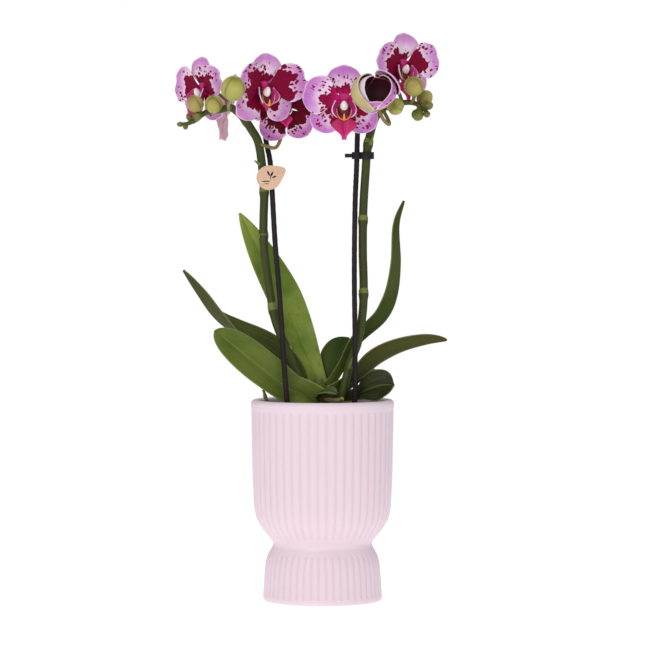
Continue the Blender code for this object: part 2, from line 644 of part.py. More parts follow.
def stake_route(places, stem_places):
    """The stake from its foot up to its top, held off its stem by what the two radii ask for."""
    room = STEM_RADIUS + STAKE_RADIUS - STAKE_SPACING * PLANT_SCALE
    stem = stem_route(stem_places)
    top = []
    for place in places:
        point = plant(*place)
        nearest = min(stem, key=lambda spot: (spot - point).length)
        top.append(point + (point - nearest).normalized() * room)
    foot = Vector((top[0].x * STAKE_TUCK, top[0].y * STAKE_TUCK, top[0].z - STAKE_DEPTH))
    return [foot] + smooth_route(top, 2 * len(top) - 1)


def build_stake(name, places, stem_places, material, collection, cutters):
    route = stake_route(places, stem_places)
    radii = [STAKE_RADIUS] * len(route)
    stake = tube_mesh(name, route, radii, material, collection)
    hole_foot = route[0] + (route[0] - route[1]).normalized() * GAP * 2
    hole = [hole_foot] + route[1:3]
    hole_radii = [STAKE_RADIUS + GAP * 2] * len(hole)
    hide_cutter(tube_mesh(name + "_hole", hole, hole_radii, material, cutters))
    return stake


def route_at_height(route, height):
    for first, second in zip(route, route[1:]):
        if first.z <= height <= second.z:
            return first.lerp(second, (height - first.z) / (second.z - first.z))
    return route[-1]


def build_clip(material, collection, cutters):
    """A stem clip: a ring round the stem, a ring round the stake, and a finger tab."""
    height = plant(0, 0, CLIP_Z).z
    stem = route_at_height(stem_route(RIGHT_STEM), height)
    stake = route_at_height(stake_route(RIGHT_STAKE, RIGHT_STEM), height)
    rings = new_collection("clip_rings")

    def post(name, place, radius, length, group):
        bm = bmesh.new()
        bmesh.ops.create_cone(bm, cap_ends=True, segments=16, radius1=radius, radius2=radius,
                              depth=length, matrix=Matrix.Translation((place.x, place.y, height)))
        return add_mesh(name, bm, material, group)

    stem_hole = STEM_RADIUS + GAP + CLIP_SLACK
    stake_hole = STAKE_RADIUS + GAP
    clip = post("stem_clip", stem, stem_hole + CLIP_WALL, CLIP_HEIGHT, collection)
    hide_cutter(post("stake_ring", stake, stake_hole + CLIP_WALL, CLIP_HEIGHT, rings))
    tab_length = 0.0065
    bm = bmesh.new()
    tab = stake + Vector((-stake_hole - tab_length / 2, 0, 0))
    size = Matrix.Diagonal((tab_length, 0.0022, CLIP_HEIGHT * 0.55, 1.0))
    bmesh.ops.create_cube(bm, size=1.0, matrix=Matrix.Translation((tab.x, tab.y, height)) @ size)
    hide_cutter(add_mesh("finger_tab", bm, material, rings, smooth=False))
    boolean(clip, 'UNION', rings)
    for name, place, radius in (("stem_bore", stem, stem_hole), ("stake_bore", stake, stake_hole)):
        bore = hide_cutter(post(name, place, radius, CLIP_HEIGHT * 3, cutters))
        boolean(clip, 'DIFFERENCE', bore)
    return clip


def build_tag(material, collection):
    """A flat drop-shaped plant tag that hangs in front of the left stem."""
    centre = plant(-38.6, 0, 159.6)
    stem = route_at_height(stem_route(LEFT_STEM), centre.z)
    centre.y = stem.y - STEM_RADIUS - TAG_CLEARANCE
    point = Vector((1.0, 0.53)).normalized()
    bm = bmesh.new()
    bmesh.ops.create_circle(bm, cap_ends=True, segments=28, radius=TAG_RADIUS)
    for vert in bm.verts:
        pull = max(vert.co.xy.normalized().dot(point), 0.0) ** 6
        vert.co.xy += point * pull * TAG_RADIUS * 0.52
    front = bm.faces[:]
    if front[0].normal.z < 0:
        bmesh.ops.reverse_faces(bm, faces=front)
    raised = bmesh.ops.extrude_face_region(bm, geom=front)
    lifted = [item for item in raised["geom"] if isinstance(item, bmesh.types.BMVert)]
    bmesh.ops.translate(bm, verts=lifted, vec=(0, 0, TAG_THICKNESS))
    bmesh.ops.recalc_face_normals(bm, faces=bm.faces)
    stand = Matrix(((1, 0, 0), (0, 0, -1), (0, 1, 0))).to_4x4()
    bmesh.ops.transform(bm, matrix=Matrix.Translation(centre) @ stand, verts=bm.verts)
    return add_mesh("plant_tag", bm, material, collection)


# --------------------------------------------------------------------------------- whole

def make_materials():
    return {
        "ceramic": new_material("pink_glaze", (0.82, 0.68, 0.76), 0.45),
        "nursery": new_material("nursery_plastic", (0.10, 0.08, 0.07), 0.5),
        "bark": new_material("pine_bark", (0.24, 0.13, 0.07), 0.9),
        "crown": new_material("crown_green", (0.20, 0.34, 0.06), 0.5),
        "leaf": new_material("leaf_green", (0.11, 0.17, 0.03), 0.4),
        "stem": new_material("stem_green", (0.12, 0.18, 0.04), 0.45),
        "sepal": new_material("sepal_pink", (0.78, 0.42, 0.66), 0.5),
        "petal": new_material("petal_lilac", (0.80, 0.40, 0.70), 0.5),
        "lip": new_material("lip_magenta", (0.52, 0.03, 0.20), 0.45),
        "bud": new_material("bud_green", (0.52, 0.48, 0.13), 0.5),
        "black": new_material("black_plastic", (0.01, 0.01, 0.01), 0.35),
        "tag": new_material("tag_card", (0.80, 0.60, 0.45), 0.7),
    }


def main():
    clear_scene()
    parts = new_collection(OBJECT_NAME)
    cutters = new_collection("cutters")
    bark_cutters = new_collection("bark_cutters")
    finish = make_materials()
    build_ceramic_pot(finish["ceramic"], parts)
    build_nursery_pot(finish["nursery"], parts)
    build_crown(finish["crown"], parts, bark_cutters)
    build_stake("left_support_stake", LEFT_STAKE, LEFT_STEM, finish["black"], parts, bark_cutters)
    build_stake("right_support_stake", RIGHT_STAKE, RIGHT_STEM, finish["black"], parts, bark_cutters)
    build_bark(finish["bark"], parts, bark_cutters)
    for name, (spine, width, face_base, face_tip, fold) in LEAVES.items():
        build_leaf(name, spine, width, face_base, face_tip, fold, finish["leaf"], parts)
    for name, values in FLOWERS.items():
        build_flower(name, *values, finish, parts)
    build_stem("left_flower_stem", LEFT_STEM, LEFT_NODES, LEFT_PEDICELS, BUD_STALKS_LEFT,
               GROWN_STALKS_LEFT, GROWN_BUDS_LEFT, BRACTS_LEFT, finish["stem"], parts)
    right_stalks = {**BUD_STALKS_RIGHT, "opening_bud": OPENING_BUD_STALK}
    build_stem("right_flower_stem", RIGHT_STEM, RIGHT_NODES, RIGHT_PEDICELS, right_stalks,
               GROWN_STALKS_RIGHT, GROWN_BUDS_RIGHT, BRACTS_RIGHT, finish["stem"], parts)
    for name, (place, across, along, tip) in BUDS.items():
        size = (across * MM * PLANT_SCALE, along * MM * PLANT_SCALE)
        ellipsoid(name, plant(*place), size, finish["bud"], parts, tip, segments=12, rings=8)
    build_opening_bud(finish["bud"], parts)
    build_clip(finish["black"], parts, cutters)
    build_tag(finish["tag"], parts)


main()
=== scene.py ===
"""Looks of the potted orchid: every visible surface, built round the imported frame.

Sizes are in metres unless a name says mm. Places on the plant are in mm from the middle
of the cover pot's rim, as (right, back, up).
"""
import json
import logging
import math
import random
from dataclasses import dataclass, field
from enum import Enum
from typing import Callable, Optional, Sequence

import bmesh
import bpy
from mathutils import Matrix, Vector, noise

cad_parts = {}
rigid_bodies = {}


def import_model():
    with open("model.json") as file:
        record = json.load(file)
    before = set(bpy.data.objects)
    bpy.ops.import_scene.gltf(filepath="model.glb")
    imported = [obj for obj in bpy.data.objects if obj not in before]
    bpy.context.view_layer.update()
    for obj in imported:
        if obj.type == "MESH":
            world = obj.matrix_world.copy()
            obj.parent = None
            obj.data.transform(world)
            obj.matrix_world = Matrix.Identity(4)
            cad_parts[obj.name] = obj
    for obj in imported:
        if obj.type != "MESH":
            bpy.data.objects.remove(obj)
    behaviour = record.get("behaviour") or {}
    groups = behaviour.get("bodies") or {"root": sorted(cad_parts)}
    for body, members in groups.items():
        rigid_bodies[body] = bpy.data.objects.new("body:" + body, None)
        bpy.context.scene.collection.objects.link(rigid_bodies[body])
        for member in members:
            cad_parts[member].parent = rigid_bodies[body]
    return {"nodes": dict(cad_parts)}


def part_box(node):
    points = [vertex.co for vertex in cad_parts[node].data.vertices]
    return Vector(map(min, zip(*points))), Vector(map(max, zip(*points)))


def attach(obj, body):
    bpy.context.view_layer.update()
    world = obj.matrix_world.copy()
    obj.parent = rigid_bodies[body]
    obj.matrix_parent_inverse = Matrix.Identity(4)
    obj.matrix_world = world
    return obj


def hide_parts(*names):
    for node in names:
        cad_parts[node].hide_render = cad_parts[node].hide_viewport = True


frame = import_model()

log = logging.getLogger("potted_orchid")

MM = 0.001
RIM_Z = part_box("ceramic_pot")[1][2]
Place = tuple[float, float, float]
Colour = tuple[float, float, float]
UPRIGHT = Matrix(((1, 0, 0), (0, 0, -1), (0, 1, 0))).to_4x4()
SIDES = ((-1, "left"), (1, "right"))
GOLDEN_TURN = 2.39996


# ------------------------------------------------------------------------------ arithmetic

def plant(x: float, y: float, z: float) -> Vector:
    """A place on the plant, given in mm from the middle of the rim."""
    return Vector((x * MM, y * MM, z * MM + RIM_Z))


def blend(low: float, high: float, t: float) -> float:
    """The value a share t of the way from low to high."""
    return low + (high - low) * t


def ease(t: float) -> float:
    """A smooth step from 0 to 1, flat at both ends."""
    t = min(max(t, 0.0), 1.0)
    return t * t * (3 - 2 * t)


def along_curve(points: Sequence[Vector], place: float) -> Vector:
    """A point on the Catmull-Rom curve through some points.

    Args:
        points: The points that the curve passes through.
        place: The share of the way along it, from 0 to 1.

    Returns:
        The point at that place.
    """
    ends = [2 * points[0] - points[1], *points, 2 * points[-1] - points[-2]]
    way = min(max(place, 0.0), 1.0) * (len(points) - 1)
    span = min(int(way), len(points) - 2)
    t = way - span
    a, b, c, d = ends[span:span + 4]
    return 0.5 * ((2 * b) + (c - a) * t + (2 * a - 5 * b + 4 * c - d) * t * t
                  + (3 * b - a - 3 * c + d) * t ** 3)


def curve_points(points: Sequence[Vector], count: int) -> list[Vector]:
    """Evenly counted points on the smooth curve through some points."""
    return [along_curve(points, index / (count - 1)) for index in range(count)]


def plant_curve(places: Sequence[Place], count: int) -> list[Vector]:
    """Evenly counted points on a smooth curve through some places on the plant."""
    return curve_points([plant(*place) for place in places], count)


def facing(middle: Place, tip: Place) -> Matrix:
    """The frame of something on the plant whose own +Z points along its tip."""
    turn = Vector(tip).normalized().to_track_quat('Z', 'Y').to_matrix().to_4x4()
    return Matrix.Translation(plant(*middle)) @ turn


def srgb(code: str) -> tuple[float, float, float, float]:
    """A linear colour from a six-figure hex code."""
    values = [int(code[index:index + 2], 16) / 255 for index in (0, 2, 4)]
    linear = [v / 12.92 if v <= 0.04045 else ((v + 0.055) / 1.055) ** 2.4 for v in values]
    return (linear[0], linear[1], linear[2], 1.0)


# --------------------------------------------------------------------------- shader helpers

class Sock:
    """An output socket whose arithmetic adds Math nodes to its material."""

    def __init__(self, shader: "Shader", socket: bpy.types.NodeSocket) -> None:
        """Wrap a socket of one material's tree."""
        self.shader = shader
        self.socket = socket

    def math(self, operation: str, other: object = None, swap: bool = False) -> "Sock":
        """One Math node on this value.

        Args:
            operation: The Math node's operation.
            other: The second value or socket, if the operation has one.
            swap: Whether the other value comes first.

        Returns:
            The node's result.
        """
        values = [self] if other is None else ([other, self] if swap else [self, other])
        return self.shader.node("ShaderNodeMath", {"operation": operation},
                                dict(enumerate(values)))

    def __add__(self, other: object) -> "Sock":
        """self + other."""
        return self.math("ADD", other)

    def __radd__(self, other: object) -> "Sock":
        """other + self."""
        return self.math("ADD", other, True)

    def __sub__(self, other: object) -> "Sock":
        """self - other."""
        return self.math("SUBTRACT", other)

    def __rsub__(self, other: object) -> "Sock":
        """other - self."""
        return self.math("SUBTRACT", other, True)

    def __mul__(self, other: object) -> "Sock":
        """self * other."""
        return self.math("MULTIPLY", other)

    def __pow__(self, other: object) -> "Sock":
        """self ** other."""
        return self.math("POWER", other)

    def __abs__(self) -> "Sock":
        """abs(self)."""
        return self.math("ABSOLUTE")

    def smallest(self, other: object) -> "Sock":
        """The smaller of this and another value."""
        return self.math("MINIMUM", other)

    def step(self, low: float, high: float) -> "Sock":
        """A smooth step of this value, from 0 at low to 1 at high."""
        settings = {"interpolation_type": "SMOOTHSTEP"}
        if low < high:
            return self.shader.node("ShaderNodeMapRange", settings, {0: self, 1: low, 2: high})
        return 1 - self.shader.node("ShaderNodeMapRange", settings, {0: self, 1: high, 2: low})


class Shader:
    """One material under construction: a Principled surface and the nodes that feed it."""

    def __init__(self, name: str, **plain: float) -> None:
        """Start a material.

        Args:
            name: The material's name.
            plain: Values that are the same all over, with the sockets' names in lower case.
        """
        self.material = bpy.data.materials.new(name)
        self.material.use_nodes = True
        self.tree = self.material.node_tree
        self.surface = self.tree.nodes["Principled BSDF"]
        for word, value in plain.items():
            socket = word.replace("_", " ").title().replace("Ior", "IOR")
            self.surface.inputs[socket].default_value = value

    def node(self, kind: str, settings: Optional[dict] = None, values: Optional[dict] = None,
             output: object = 0) -> Sock:
        """Add one node.

        Args:
            kind: The node's type.
            settings: Its own properties, which are set first.
            values: Its inputs by name or number, each a number, a colour or a Sock.
            output: The name or number of the output to return.

        Returns:
            That output.
        """
        node = self.tree.nodes.new(kind)
        for name, value in (settings or {}).items():
            if name == "stops":
                self._stops(node.color_ramp, value)
            else:
                setattr(node, name, value)
        for name, value in (values or {}).items():
            if isinstance(value, Sock):
                self.tree.links.new(value.socket, node.inputs[name])
            else:
                node.inputs[name].default_value = value
        return Sock(self, node.outputs[output])

    @staticmethod
    def _stops(ramp: bpy.types.ColorRamp, stops: Sequence[tuple[float, str]]) -> None:
        """Give a colour ramp its stops, each a place and a hex colour."""
        while len(ramp.elements) < len(stops):
            ramp.elements.new(1.0)
        for element, (place, code) in zip(ramp.elements, stops):
            element.position = place
            element.color = srgb(code)

    def objects(self) -> Sock:
        """Object coordinates, in metres."""
        return self.node("ShaderNodeTexCoord", output="Object")

    def attribute(self, name: str, output: str = "Fac") -> Sock:
        """A vertex attribute of the piece."""
        return self.node("ShaderNodeAttribute", {"attribute_name": name}, output=output)

    def parts(self, vector: Sock) -> tuple[Sock, Sock, Sock]:
        """The three numbers of a vector."""
        split = self.tree.nodes.new("ShaderNodeSeparateXYZ")
        self.tree.links.new(vector.socket, split.inputs[0])
        return tuple(Sock(self, socket) for socket in split.outputs)

    def vector(self, x: object, y: object, z: object = 0.0) -> Sock:
        """A vector from three numbers."""
        return self.node("ShaderNodeCombineXYZ", None, {0: x, 1: y, 2: z})

    def noise(self, vector: Sock, scale: float, detail: float = 2.0) -> Sock:
        """Fractal noise of about 0 to 1 on a vector."""
        return self.node("ShaderNodeTexNoise", None,
                         {"Vector": vector, "Scale": scale, "Detail": detail}, "Fac")

    def fibre(self, scale: tuple[float, float, float]) -> Sock:
        """Noise drawn out into fibres, with its own scale along each axis."""
        stretched = self.node("ShaderNodeMapping", None, {"Vector": self.objects(), "Scale": scale})
        return self.noise(stretched, 1.0, 4)

    def mix(self, first: object, second: object, share: object) -> Sock:
        """A colour between two colours, sockets or hex codes."""
        first, second = (srgb(c) if isinstance(c, str) else c for c in (first, second))
        return self.node("ShaderNodeMix", {"data_type": "RGBA"},
                         {"Factor": share, 6: first, 7: second}, 2)

    def ramp(self, value: Sock, stops: Sequence[tuple[float, str]]) -> Sock:
        """A colour ramp on a value."""
        return self.node("ShaderNodeValToRGB", {"stops": stops}, {0: value})

    def dress(self, colour: Sock, rough: object, height: Optional[Sock] = None,
              depth: float = 0.0002, strength: float = 1.0) -> bpy.types.Material:
        """Feed the surface and return the finished material.

        Args:
            colour: The base colour.
            rough: The roughness, a number or a socket.
            height: A relief, from about 0 to 1.
            depth: How deep that relief is, in metres.
            strength: The bump's strength.

        Returns:
            The material.
        """
        links = self.tree.links
        links.new(colour.socket, self.surface.inputs["Base Color"])
        if isinstance(rough, Sock):
            links.new(rough.socket, self.surface.inputs["Roughness"])
        else:
            self.surface.inputs["Roughness"].default_value = rough
        if height is not None:
            bump = self.node("ShaderNodeBump", None,
                             {"Strength": strength, "Distance": depth, "Height": height})
            links.new(bump.socket, self.surface.inputs["Normal"])
        return self.material


# ------------------------------------------------------------------------------- finishes

@dataclass(frozen=True)
class Glaze:
    """Satin ceramic glaze: almost even, slightly deeper where it pools, finely speckled."""

    body: str = "ECD9E4"
    pooled: str = "DFC3D3"
    roughness: float = 0.36

    def material(self) -> bpy.types.Material:
        """Make the glaze."""
        shader = Shader("pink_glaze", specular_ior_level=0.45, coat_weight=0.12, coat_roughness=0.3)
        place = shader.objects()
        cloud = shader.noise(place, 22, 3)
        speck = shader.noise(place, 1900, 2).step(0.66, 0.74)
        valley = shader.attribute("valley")
        colour = shader.mix(self.body, self.pooled, (valley * 0.45 + cloud * 0.22).smallest(1.0))
        colour = shader.mix(colour, "CDAFC0", speck * 0.22)
        rough = self.roughness + cloud * 0.10
        relief = shader.noise(place, 900, 3) * 0.6 + shader.noise(place, 160, 2)
        return shader.dress(colour, rough, relief, 0.00012, 0.45)


@dataclass(frozen=True)
class Moulded:
    """Moulded plastic with a fine grain."""

    name: str
    colour: str
    worn: str
    roughness: float = 0.42

    def material(self) -> bpy.types.Material:
        """Make the plastic."""
        shader = Shader(self.name, specular_ior_level=0.28)
        place = shader.objects()
        smear = shader.noise(place, 60, 3)
        grain = shader.noise(place, 2600, 2)
        colour = shader.mix(self.colour, self.worn, smear.step(0.45, 0.8) * 0.7)
        return shader.dress(colour, self.roughness + smear * 0.15, grain, 0.00006, 0.6)


@dataclass(frozen=True)
class Bark:
    """Pine bark: red-brown, fibrous, with pale broken faces."""

    def material(self) -> bpy.types.Material:
        """Make the bark."""
        shader = Shader("pine_bark", specular_ior_level=0.25)
        chip = shader.attribute("chip")
        fibre = shader.fibre((900, 900, 220))
        colour = shader.ramp(chip, ((0.0, "2E1C12"), (0.35, "5A3823"), (0.6, "7A4B32"),
                                    (0.82, "96644A"), (0.93, "B9906A"), (1.0, "B8A062")))
        colour = shader.mix(colour, "20130C", fibre.step(0.5, 0.72) * 0.6)
        return shader.dress(colour, 0.86, fibre, 0.0005, 0.8)


class Blade(Enum):
    """The two sides of a leaf."""

    UPPER = ("leaf_upper", "768A34", "3E4A14", 0.42)
    LOWER = ("leaf_under", "666C30", "554522", 0.55)


@dataclass(frozen=True)
class LeafSkin:
    """Leathery leaf: a paler midrib groove, lengthwise veins, mottling and a thin rim."""

    side: Blade
    tone: str
    deep: str
    bright: float = 0.5

    def material(self) -> bpy.types.Material:
        """Make one side of one leaf's skin."""
        name, light, dark, rough = self.side.value
        shader = Shader(f"{name}_{self.tone.lower()}", specular_ior_level=0.18,
                        coat_weight=0.04 if self.side is Blade.UPPER else 0.0, coat_roughness=0.3)
        across, along, _ = shader.parts(shader.attribute("blade", "Vector"))
        place = shader.objects()
        cells = shader.noise(place, 260, 4)
        clouds = shader.noise(place, 34, 3)
        veins = shader.noise(shader.vector(across * 9.0, along * 1.6), 1.0, 3)
        colour = shader.mix(self.deep, self.tone, clouds.step(0.30, 0.66))
        colour = shader.mix(colour, light, veins.step(0.45, 0.8) * 0.45 * self.bright * 2)
        colour = shader.mix(colour, dark, cells.step(0.52, 0.78) * 0.35)
        rib = abs(across).step(0.09, 0.0)
        colour = shader.mix(colour, "8C9A44" if self.side is Blade.UPPER else "6E7238", rib * 0.3)
        rim = abs(across).step(0.93, 1.0)
        colour = shader.mix(colour, "8C9158", rim * 0.6)
        foot = along.step(0.22, 0.0)
        colour = shader.mix(colour, "7F9A45", foot * 0.35)
        relief = veins * 0.7 + cells * 0.35 + rib * 0.4
        return shader.dress(colour, rough + cells * 0.12, relief, 0.0004, 0.5)


class Bloom(Enum):
    """How a flower is marked: spot colour, two ground colours, solid heart and last dots."""

    BRIGHT = ("7E0430", "F3D6EE", "CF86CE", 0.28, 1.20)
    CLEAR = ("8E0638", "E9C2EA", "C06FC6", 0.14, 1.02)
    DEEP = ("5A0218", "E6BCDD", "BC6CB4", 0.46, 1.22)


@dataclass(frozen=True)
class PetalSkin:
    """A tepal's face: crimson at the heart that breaks into blotches and dots outwards."""

    bloom: Bloom
    seed: float
    reach: float
    wash: float = 0.0

    def material(self) -> bpy.types.Material:
        """Make the face of one tepal."""
        spot, pale, lilac, solid, last = self.bloom.value
        shader = Shader(f"petal_face_{self.bloom.name.lower()}", specular_ior_level=0.08)
        across, along, _ = shader.parts(shader.attribute("spots", "Vector"))
        p, t, rim = shader.parts(shader.attribute("blade", "Vector"))
        away = shader.vector(across + self.seed, along * 0.62)
        warp = shader.noise(away, 0.55, 2)
        bent = shader.vector(across + self.seed + warp * 1.7, along * 0.62 + warp * 1.1)
        dots = shader.node("ShaderNodeTexVoronoi", {"feature": "SMOOTH_F1"},
                           {"Vector": bent, "Scale": 0.56, "Smoothness": 0.1, "Randomness": 0.8},
                           "Distance")
        wide = shader.noise(away, 0.15, 1)
        edge = t + (abs(p) ** 2.2) * 0.28 + (wide - 0.5) * 0.55
        fill = edge.step(last * self.reach, solid * self.reach)
        mark = (fill.step(0.02, 0.24) * 0.32 + fill * 0.28 + fill.step(0.60, 0.98) * 0.5
                - dots).step(0.0, 0.06)
        veins = shader.noise(shader.vector(p * 11.0, t * 1.4, self.seed), 1.0, 3)
        ground = shader.mix(pale, lilac, (t.step(0.35, 0.9) * 0.75 + veins * 0.35).smallest(1.0))
        ground = shader.mix(ground, "F7E6F3", edge.step(0.80, 0.45) * 0.55)
        ground = shader.mix(ground, "F2DDEB", rim.step(0.90, 1.0) * 0.8)
        depth = shader.mix(spot, "A80E58", veins.step(0.5, 0.75) * 0.35)
        if self.wash:
            depth = shader.mix(depth, "C81F74", t.step(0.36, 0.06) * self.wash)
        colour = shader.mix(ground, depth, mark)
        relief = veins * 0.8 + shader.noise(away, 3.2, 2) * 0.3 - mark * 0.15
        return shader.dress(colour, 0.48 + veins * 0.1, relief, 0.00022, 0.55)


@dataclass(frozen=True)
class PetalBack:
    """A tepal's back: cream-pink with faint veins and ghosts of the marks."""

    pale: str = "E5B9C9"
    warm: str = "C98CA0"

    def material(self) -> bpy.types.Material:
        """Make the back of every tepal."""
        shader = Shader("petal_back", specular_ior_level=0.3)
        p, t, rim = shader.parts(shader.attribute("blade", "Vector"))
        veins = shader.noise(shader.vector(p * 10.0, t * 1.3), 1.0, 3)
        ghost = shader.noise(shader.objects(), 210, 2)
        colour = shader.mix(self.pale, self.warm, veins.step(0.35, 0.75) * 0.6)
        colour = shader.mix(colour, "A85674", ghost.step(0.5, 0.72) * t.step(0.85, 0.2) * 0.7)
        colour = shader.mix(colour, "B9AE7C", t.step(0.25, 0.0) * 0.55)
        colour = shader.mix(colour, "EED7E2", rim.step(0.9, 1.0) * 0.6)
        return shader.dress(colour, 0.55, veins, 0.0002, 0.5)


@dataclass(frozen=True)
class Stops:
    """A waxy surface whose colour runs along the piece's own 'along' attribute."""

    name: str
    stops: tuple[tuple[float, str], ...]
    blush: str
    amount: float
    grain: float = 420.0
    roughness: float = 0.42
    seam: str = ""

    def material(self) -> bpy.types.Material:
        """Make the surface."""
        shader = Shader(self.name, specular_ior_level=0.3, coat_weight=0.04, coat_roughness=0.4)
        place = shader.objects()
        cloud = shader.noise(place, self.grain * 0.3, 3)
        fine = shader.noise(place, self.grain * 3, 3)
        base = shader.ramp(shader.attribute("along") + (cloud - 0.5) * 0.12, self.stops)
        colour = shader.mix(base, self.blush, cloud.step(0.42, 0.7) * self.amount)
        colour = shader.mix(colour, self.blush, fine.step(0.62, 0.72) * self.amount * 0.6)
        if self.seam:
            colour = shader.mix(colour, self.seam, shader.attribute("seam") * 0.75)
        return shader.dress(colour, self.roughness + fine * 0.1, fine, 0.00012, 0.5)


@dataclass(frozen=True)
class Card:
    """Uncoated card, peach, with short fibres."""

    def material(self) -> bpy.types.Material:
        """Make the card."""
        shader = Shader("tag_card", specular_ior_level=0.2)
        fibre = shader.fibre((1500, 1500, 420))
        colour = shader.mix("E3BFA6", "CFA588", fibre.step(0.4, 0.75))
        return shader.dress(colour, 0.8, fibre, 0.0001, 0.4)


# ---------------------------------------------------------------------------- mesh helpers

def finish_mesh(name: str, bm: bmesh.types.BMesh, materials: Sequence[bpy.types.Material],
                smooth: bool = True) -> bpy.types.Object:
    """Turn a bmesh into a shown piece.

    Args:
        name: The piece's name.
        bm: Its mesh, in place, which is freed.
        materials: Its materials, by slot.
        smooth: Whether its faces are shaded smooth.

    Returns:
        The new object.
    """
    mesh = bpy.data.meshes.new(name)
    bm.to_mesh(mesh)
    bm.free()
    for material in materials:
        mesh.materials.append(material)
    if smooth:
        mesh.shade_smooth()
    piece = bpy.data.objects.new(name, mesh)
    bpy.context.scene.collection.objects.link(piece)
    return piece


def settle(piece: bpy.types.Object, slot: str, *nodes: str) -> None:
    """Ride a piece on the root body, hide the nodes that it stands for and log its faces."""
    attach(piece, "root")
    if nodes:
        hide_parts(*nodes)
    log.info("%s: %d faces", piece.name, len(piece.data.polygons))


def add_piece(name: str, bm: bmesh.types.BMesh, materials: Sequence[bpy.types.Material],
              slot: str, nodes: Sequence[str], wall: float = 0.0) -> None:
    """Turn a bmesh into a smooth, settled piece.

    Args:
        name: The piece's name.
        bm: Its mesh, in place, which is freed.
        materials: Its materials, by slot.
        slot: Not used.
        nodes: The nodes that it stands for.
        wall: How thick to make it, if it is an open sheet.
    """
    piece = finish_mesh(name, bm, materials)
    if wall:
        thicken(piece, wall)
    settle(piece, slot, *nodes)


def along_layer(bm: bmesh.types.BMesh) -> object:
    """The vertex layer 'along', made if it is missing."""
    return bm.verts.layers.float.get("along") or bm.verts.layers.float.new("along")


def sheet_grid(columns: int, rows: int, shape: Callable[[float, float], Vector],
               round_off: bool) -> tuple[bmesh.types.BMesh, object]:
    """A square grid that a function bends into a blade.

    Args:
        columns: Squares across.
        rows: Squares along.
        shape: Gives a point from the places across, -1..1, and along, 0..1.
        round_off: Whether the square is first drawn into a disc.

    Returns:
        The bmesh, and its vector layer 'blade' of across, along and nearness to the rim.
    """
    bm = bmesh.new()
    bmesh.ops.create_grid(bm, x_segments=columns, y_segments=rows, size=1.0)
    layer = bm.verts.layers.float_vector.new("blade")
    for vert in bm.verts:
        a, b = vert.co.x, vert.co.y
        rim = max(abs(a), abs(b)) if round_off else abs(a)
        if round_off:
            a, b = a * math.sqrt(1 - b * b / 2), b * math.sqrt(1 - a * a / 2)
        vert[layer] = Vector((a, (b + 1) / 2, rim))
        vert.co = shape(a, (b + 1) / 2)
    return bm, layer


def thicken(piece: bpy.types.Object, thickness: float) -> None:
    """Give an open sheet a wall, and its back the last of its materials."""
    wall = piece.modifiers.new("wall", 'SOLIDIFY')
    wall.thickness = thickness
    wall.offset = 0.0
    wall.use_even_offset = False
    wall.material_offset = len(piece.data.materials) - 1
    wall.material_offset_rim = 0


def tube(bm: bmesh.types.BMesh, route: Sequence[Vector], radii: Sequence[float], sides: int = 14,
         tone: Optional[Callable[[float], float]] = None) -> None:
    """Sweep a closed round tube with domed ends along a route, into a bmesh.

    Args:
        bm: The mesh to add to.
        route: The points that the tube follows.
        radii: Its radius at each point.
        sides: Sides of the round.
        tone: The 'along' value for a share of the length; the share itself if left out.
    """
    layer = along_layer(bm)
    ahead = (route[1] - route[0]).normalized()
    turn = ahead.to_track_quat('Z', 'Y').to_matrix().to_4x4()
    dome, flat_dome = (0.45, 0.8), 0.4
    stations = [(route[0] - ahead * radii[0] * flat_dome * (1 - d),
                 radii[0] * math.sqrt(d * (2 - d)), ahead, 0.0) for d in dome]
    for index, point in enumerate(route):
        span = route[min(index + 1, len(route) - 1)] - route[max(index - 1, 0)]
        stations.append((point, radii[index], span.normalized(), index / (len(route) - 1)))
    last, tip = route[-1], radii[-1]
    end = (last - route[-2]).normalized()
    stations += [(last + end * tip * flat_dome * (1 - d), tip * math.sqrt(d * (2 - d)), end, 1.0)
                 for d in reversed(dome)]
    ring = bmesh.ops.create_circle(bm, cap_ends=False, segments=sides, radius=1.0)["verts"]
    places = {vert: vert.co.copy() for vert in ring}
    edges = first_loop = list({edge for vert in ring for edge in vert.link_edges})
    heading = ahead
    for number, (point, radius, direction, share) in enumerate(stations):
        if number:
            turn = heading.rotation_difference(direction).to_matrix().to_4x4() @ turn
            heading = direction
            grown = bmesh.ops.extrude_edge_only(bm, edges=edges)["geom"]
            ring = sorted((g for g in grown if isinstance(g, bmesh.types.BMVert)),
                          key=lambda vert: vert.index)
            edges = [g for g in grown if isinstance(g, bmesh.types.BMEdge)
                     and all(vert in set(ring) for vert in g.verts)]
            places = {vert: places[edge.other_vert(vert)] for vert in ring
                      for edge in vert.link_edges if edge.other_vert(vert) in places}
        for vert in ring:
            vert.co = point + turn @ (places[vert] * radius)
            vert[layer] = tone(share) if tone else share
    bmesh.ops.contextual_create(bm, geom=edges)
    bmesh.ops.contextual_create(bm, geom=first_loop)


def tube_piece(name: str, routes: Sequence[tuple], material: bpy.types.Material, sides: int,
               slot: str, *nodes: str) -> None:
    """Add one piece of several tubes.

    Args:
        name: The piece's name.
        routes: The tubes, each a route, its radii and its tone.
        material: Its material.
        sides: Sides of the round.
        slot: Not used.
        nodes: The nodes that it stands for.
    """
    bm = bmesh.new()
    for route, radii, tone in routes:
        tube(bm, route, radii, sides, tone)
    bmesh.ops.recalc_face_normals(bm, faces=bm.faces)
    add_piece(name, bm, [material], slot, nodes)


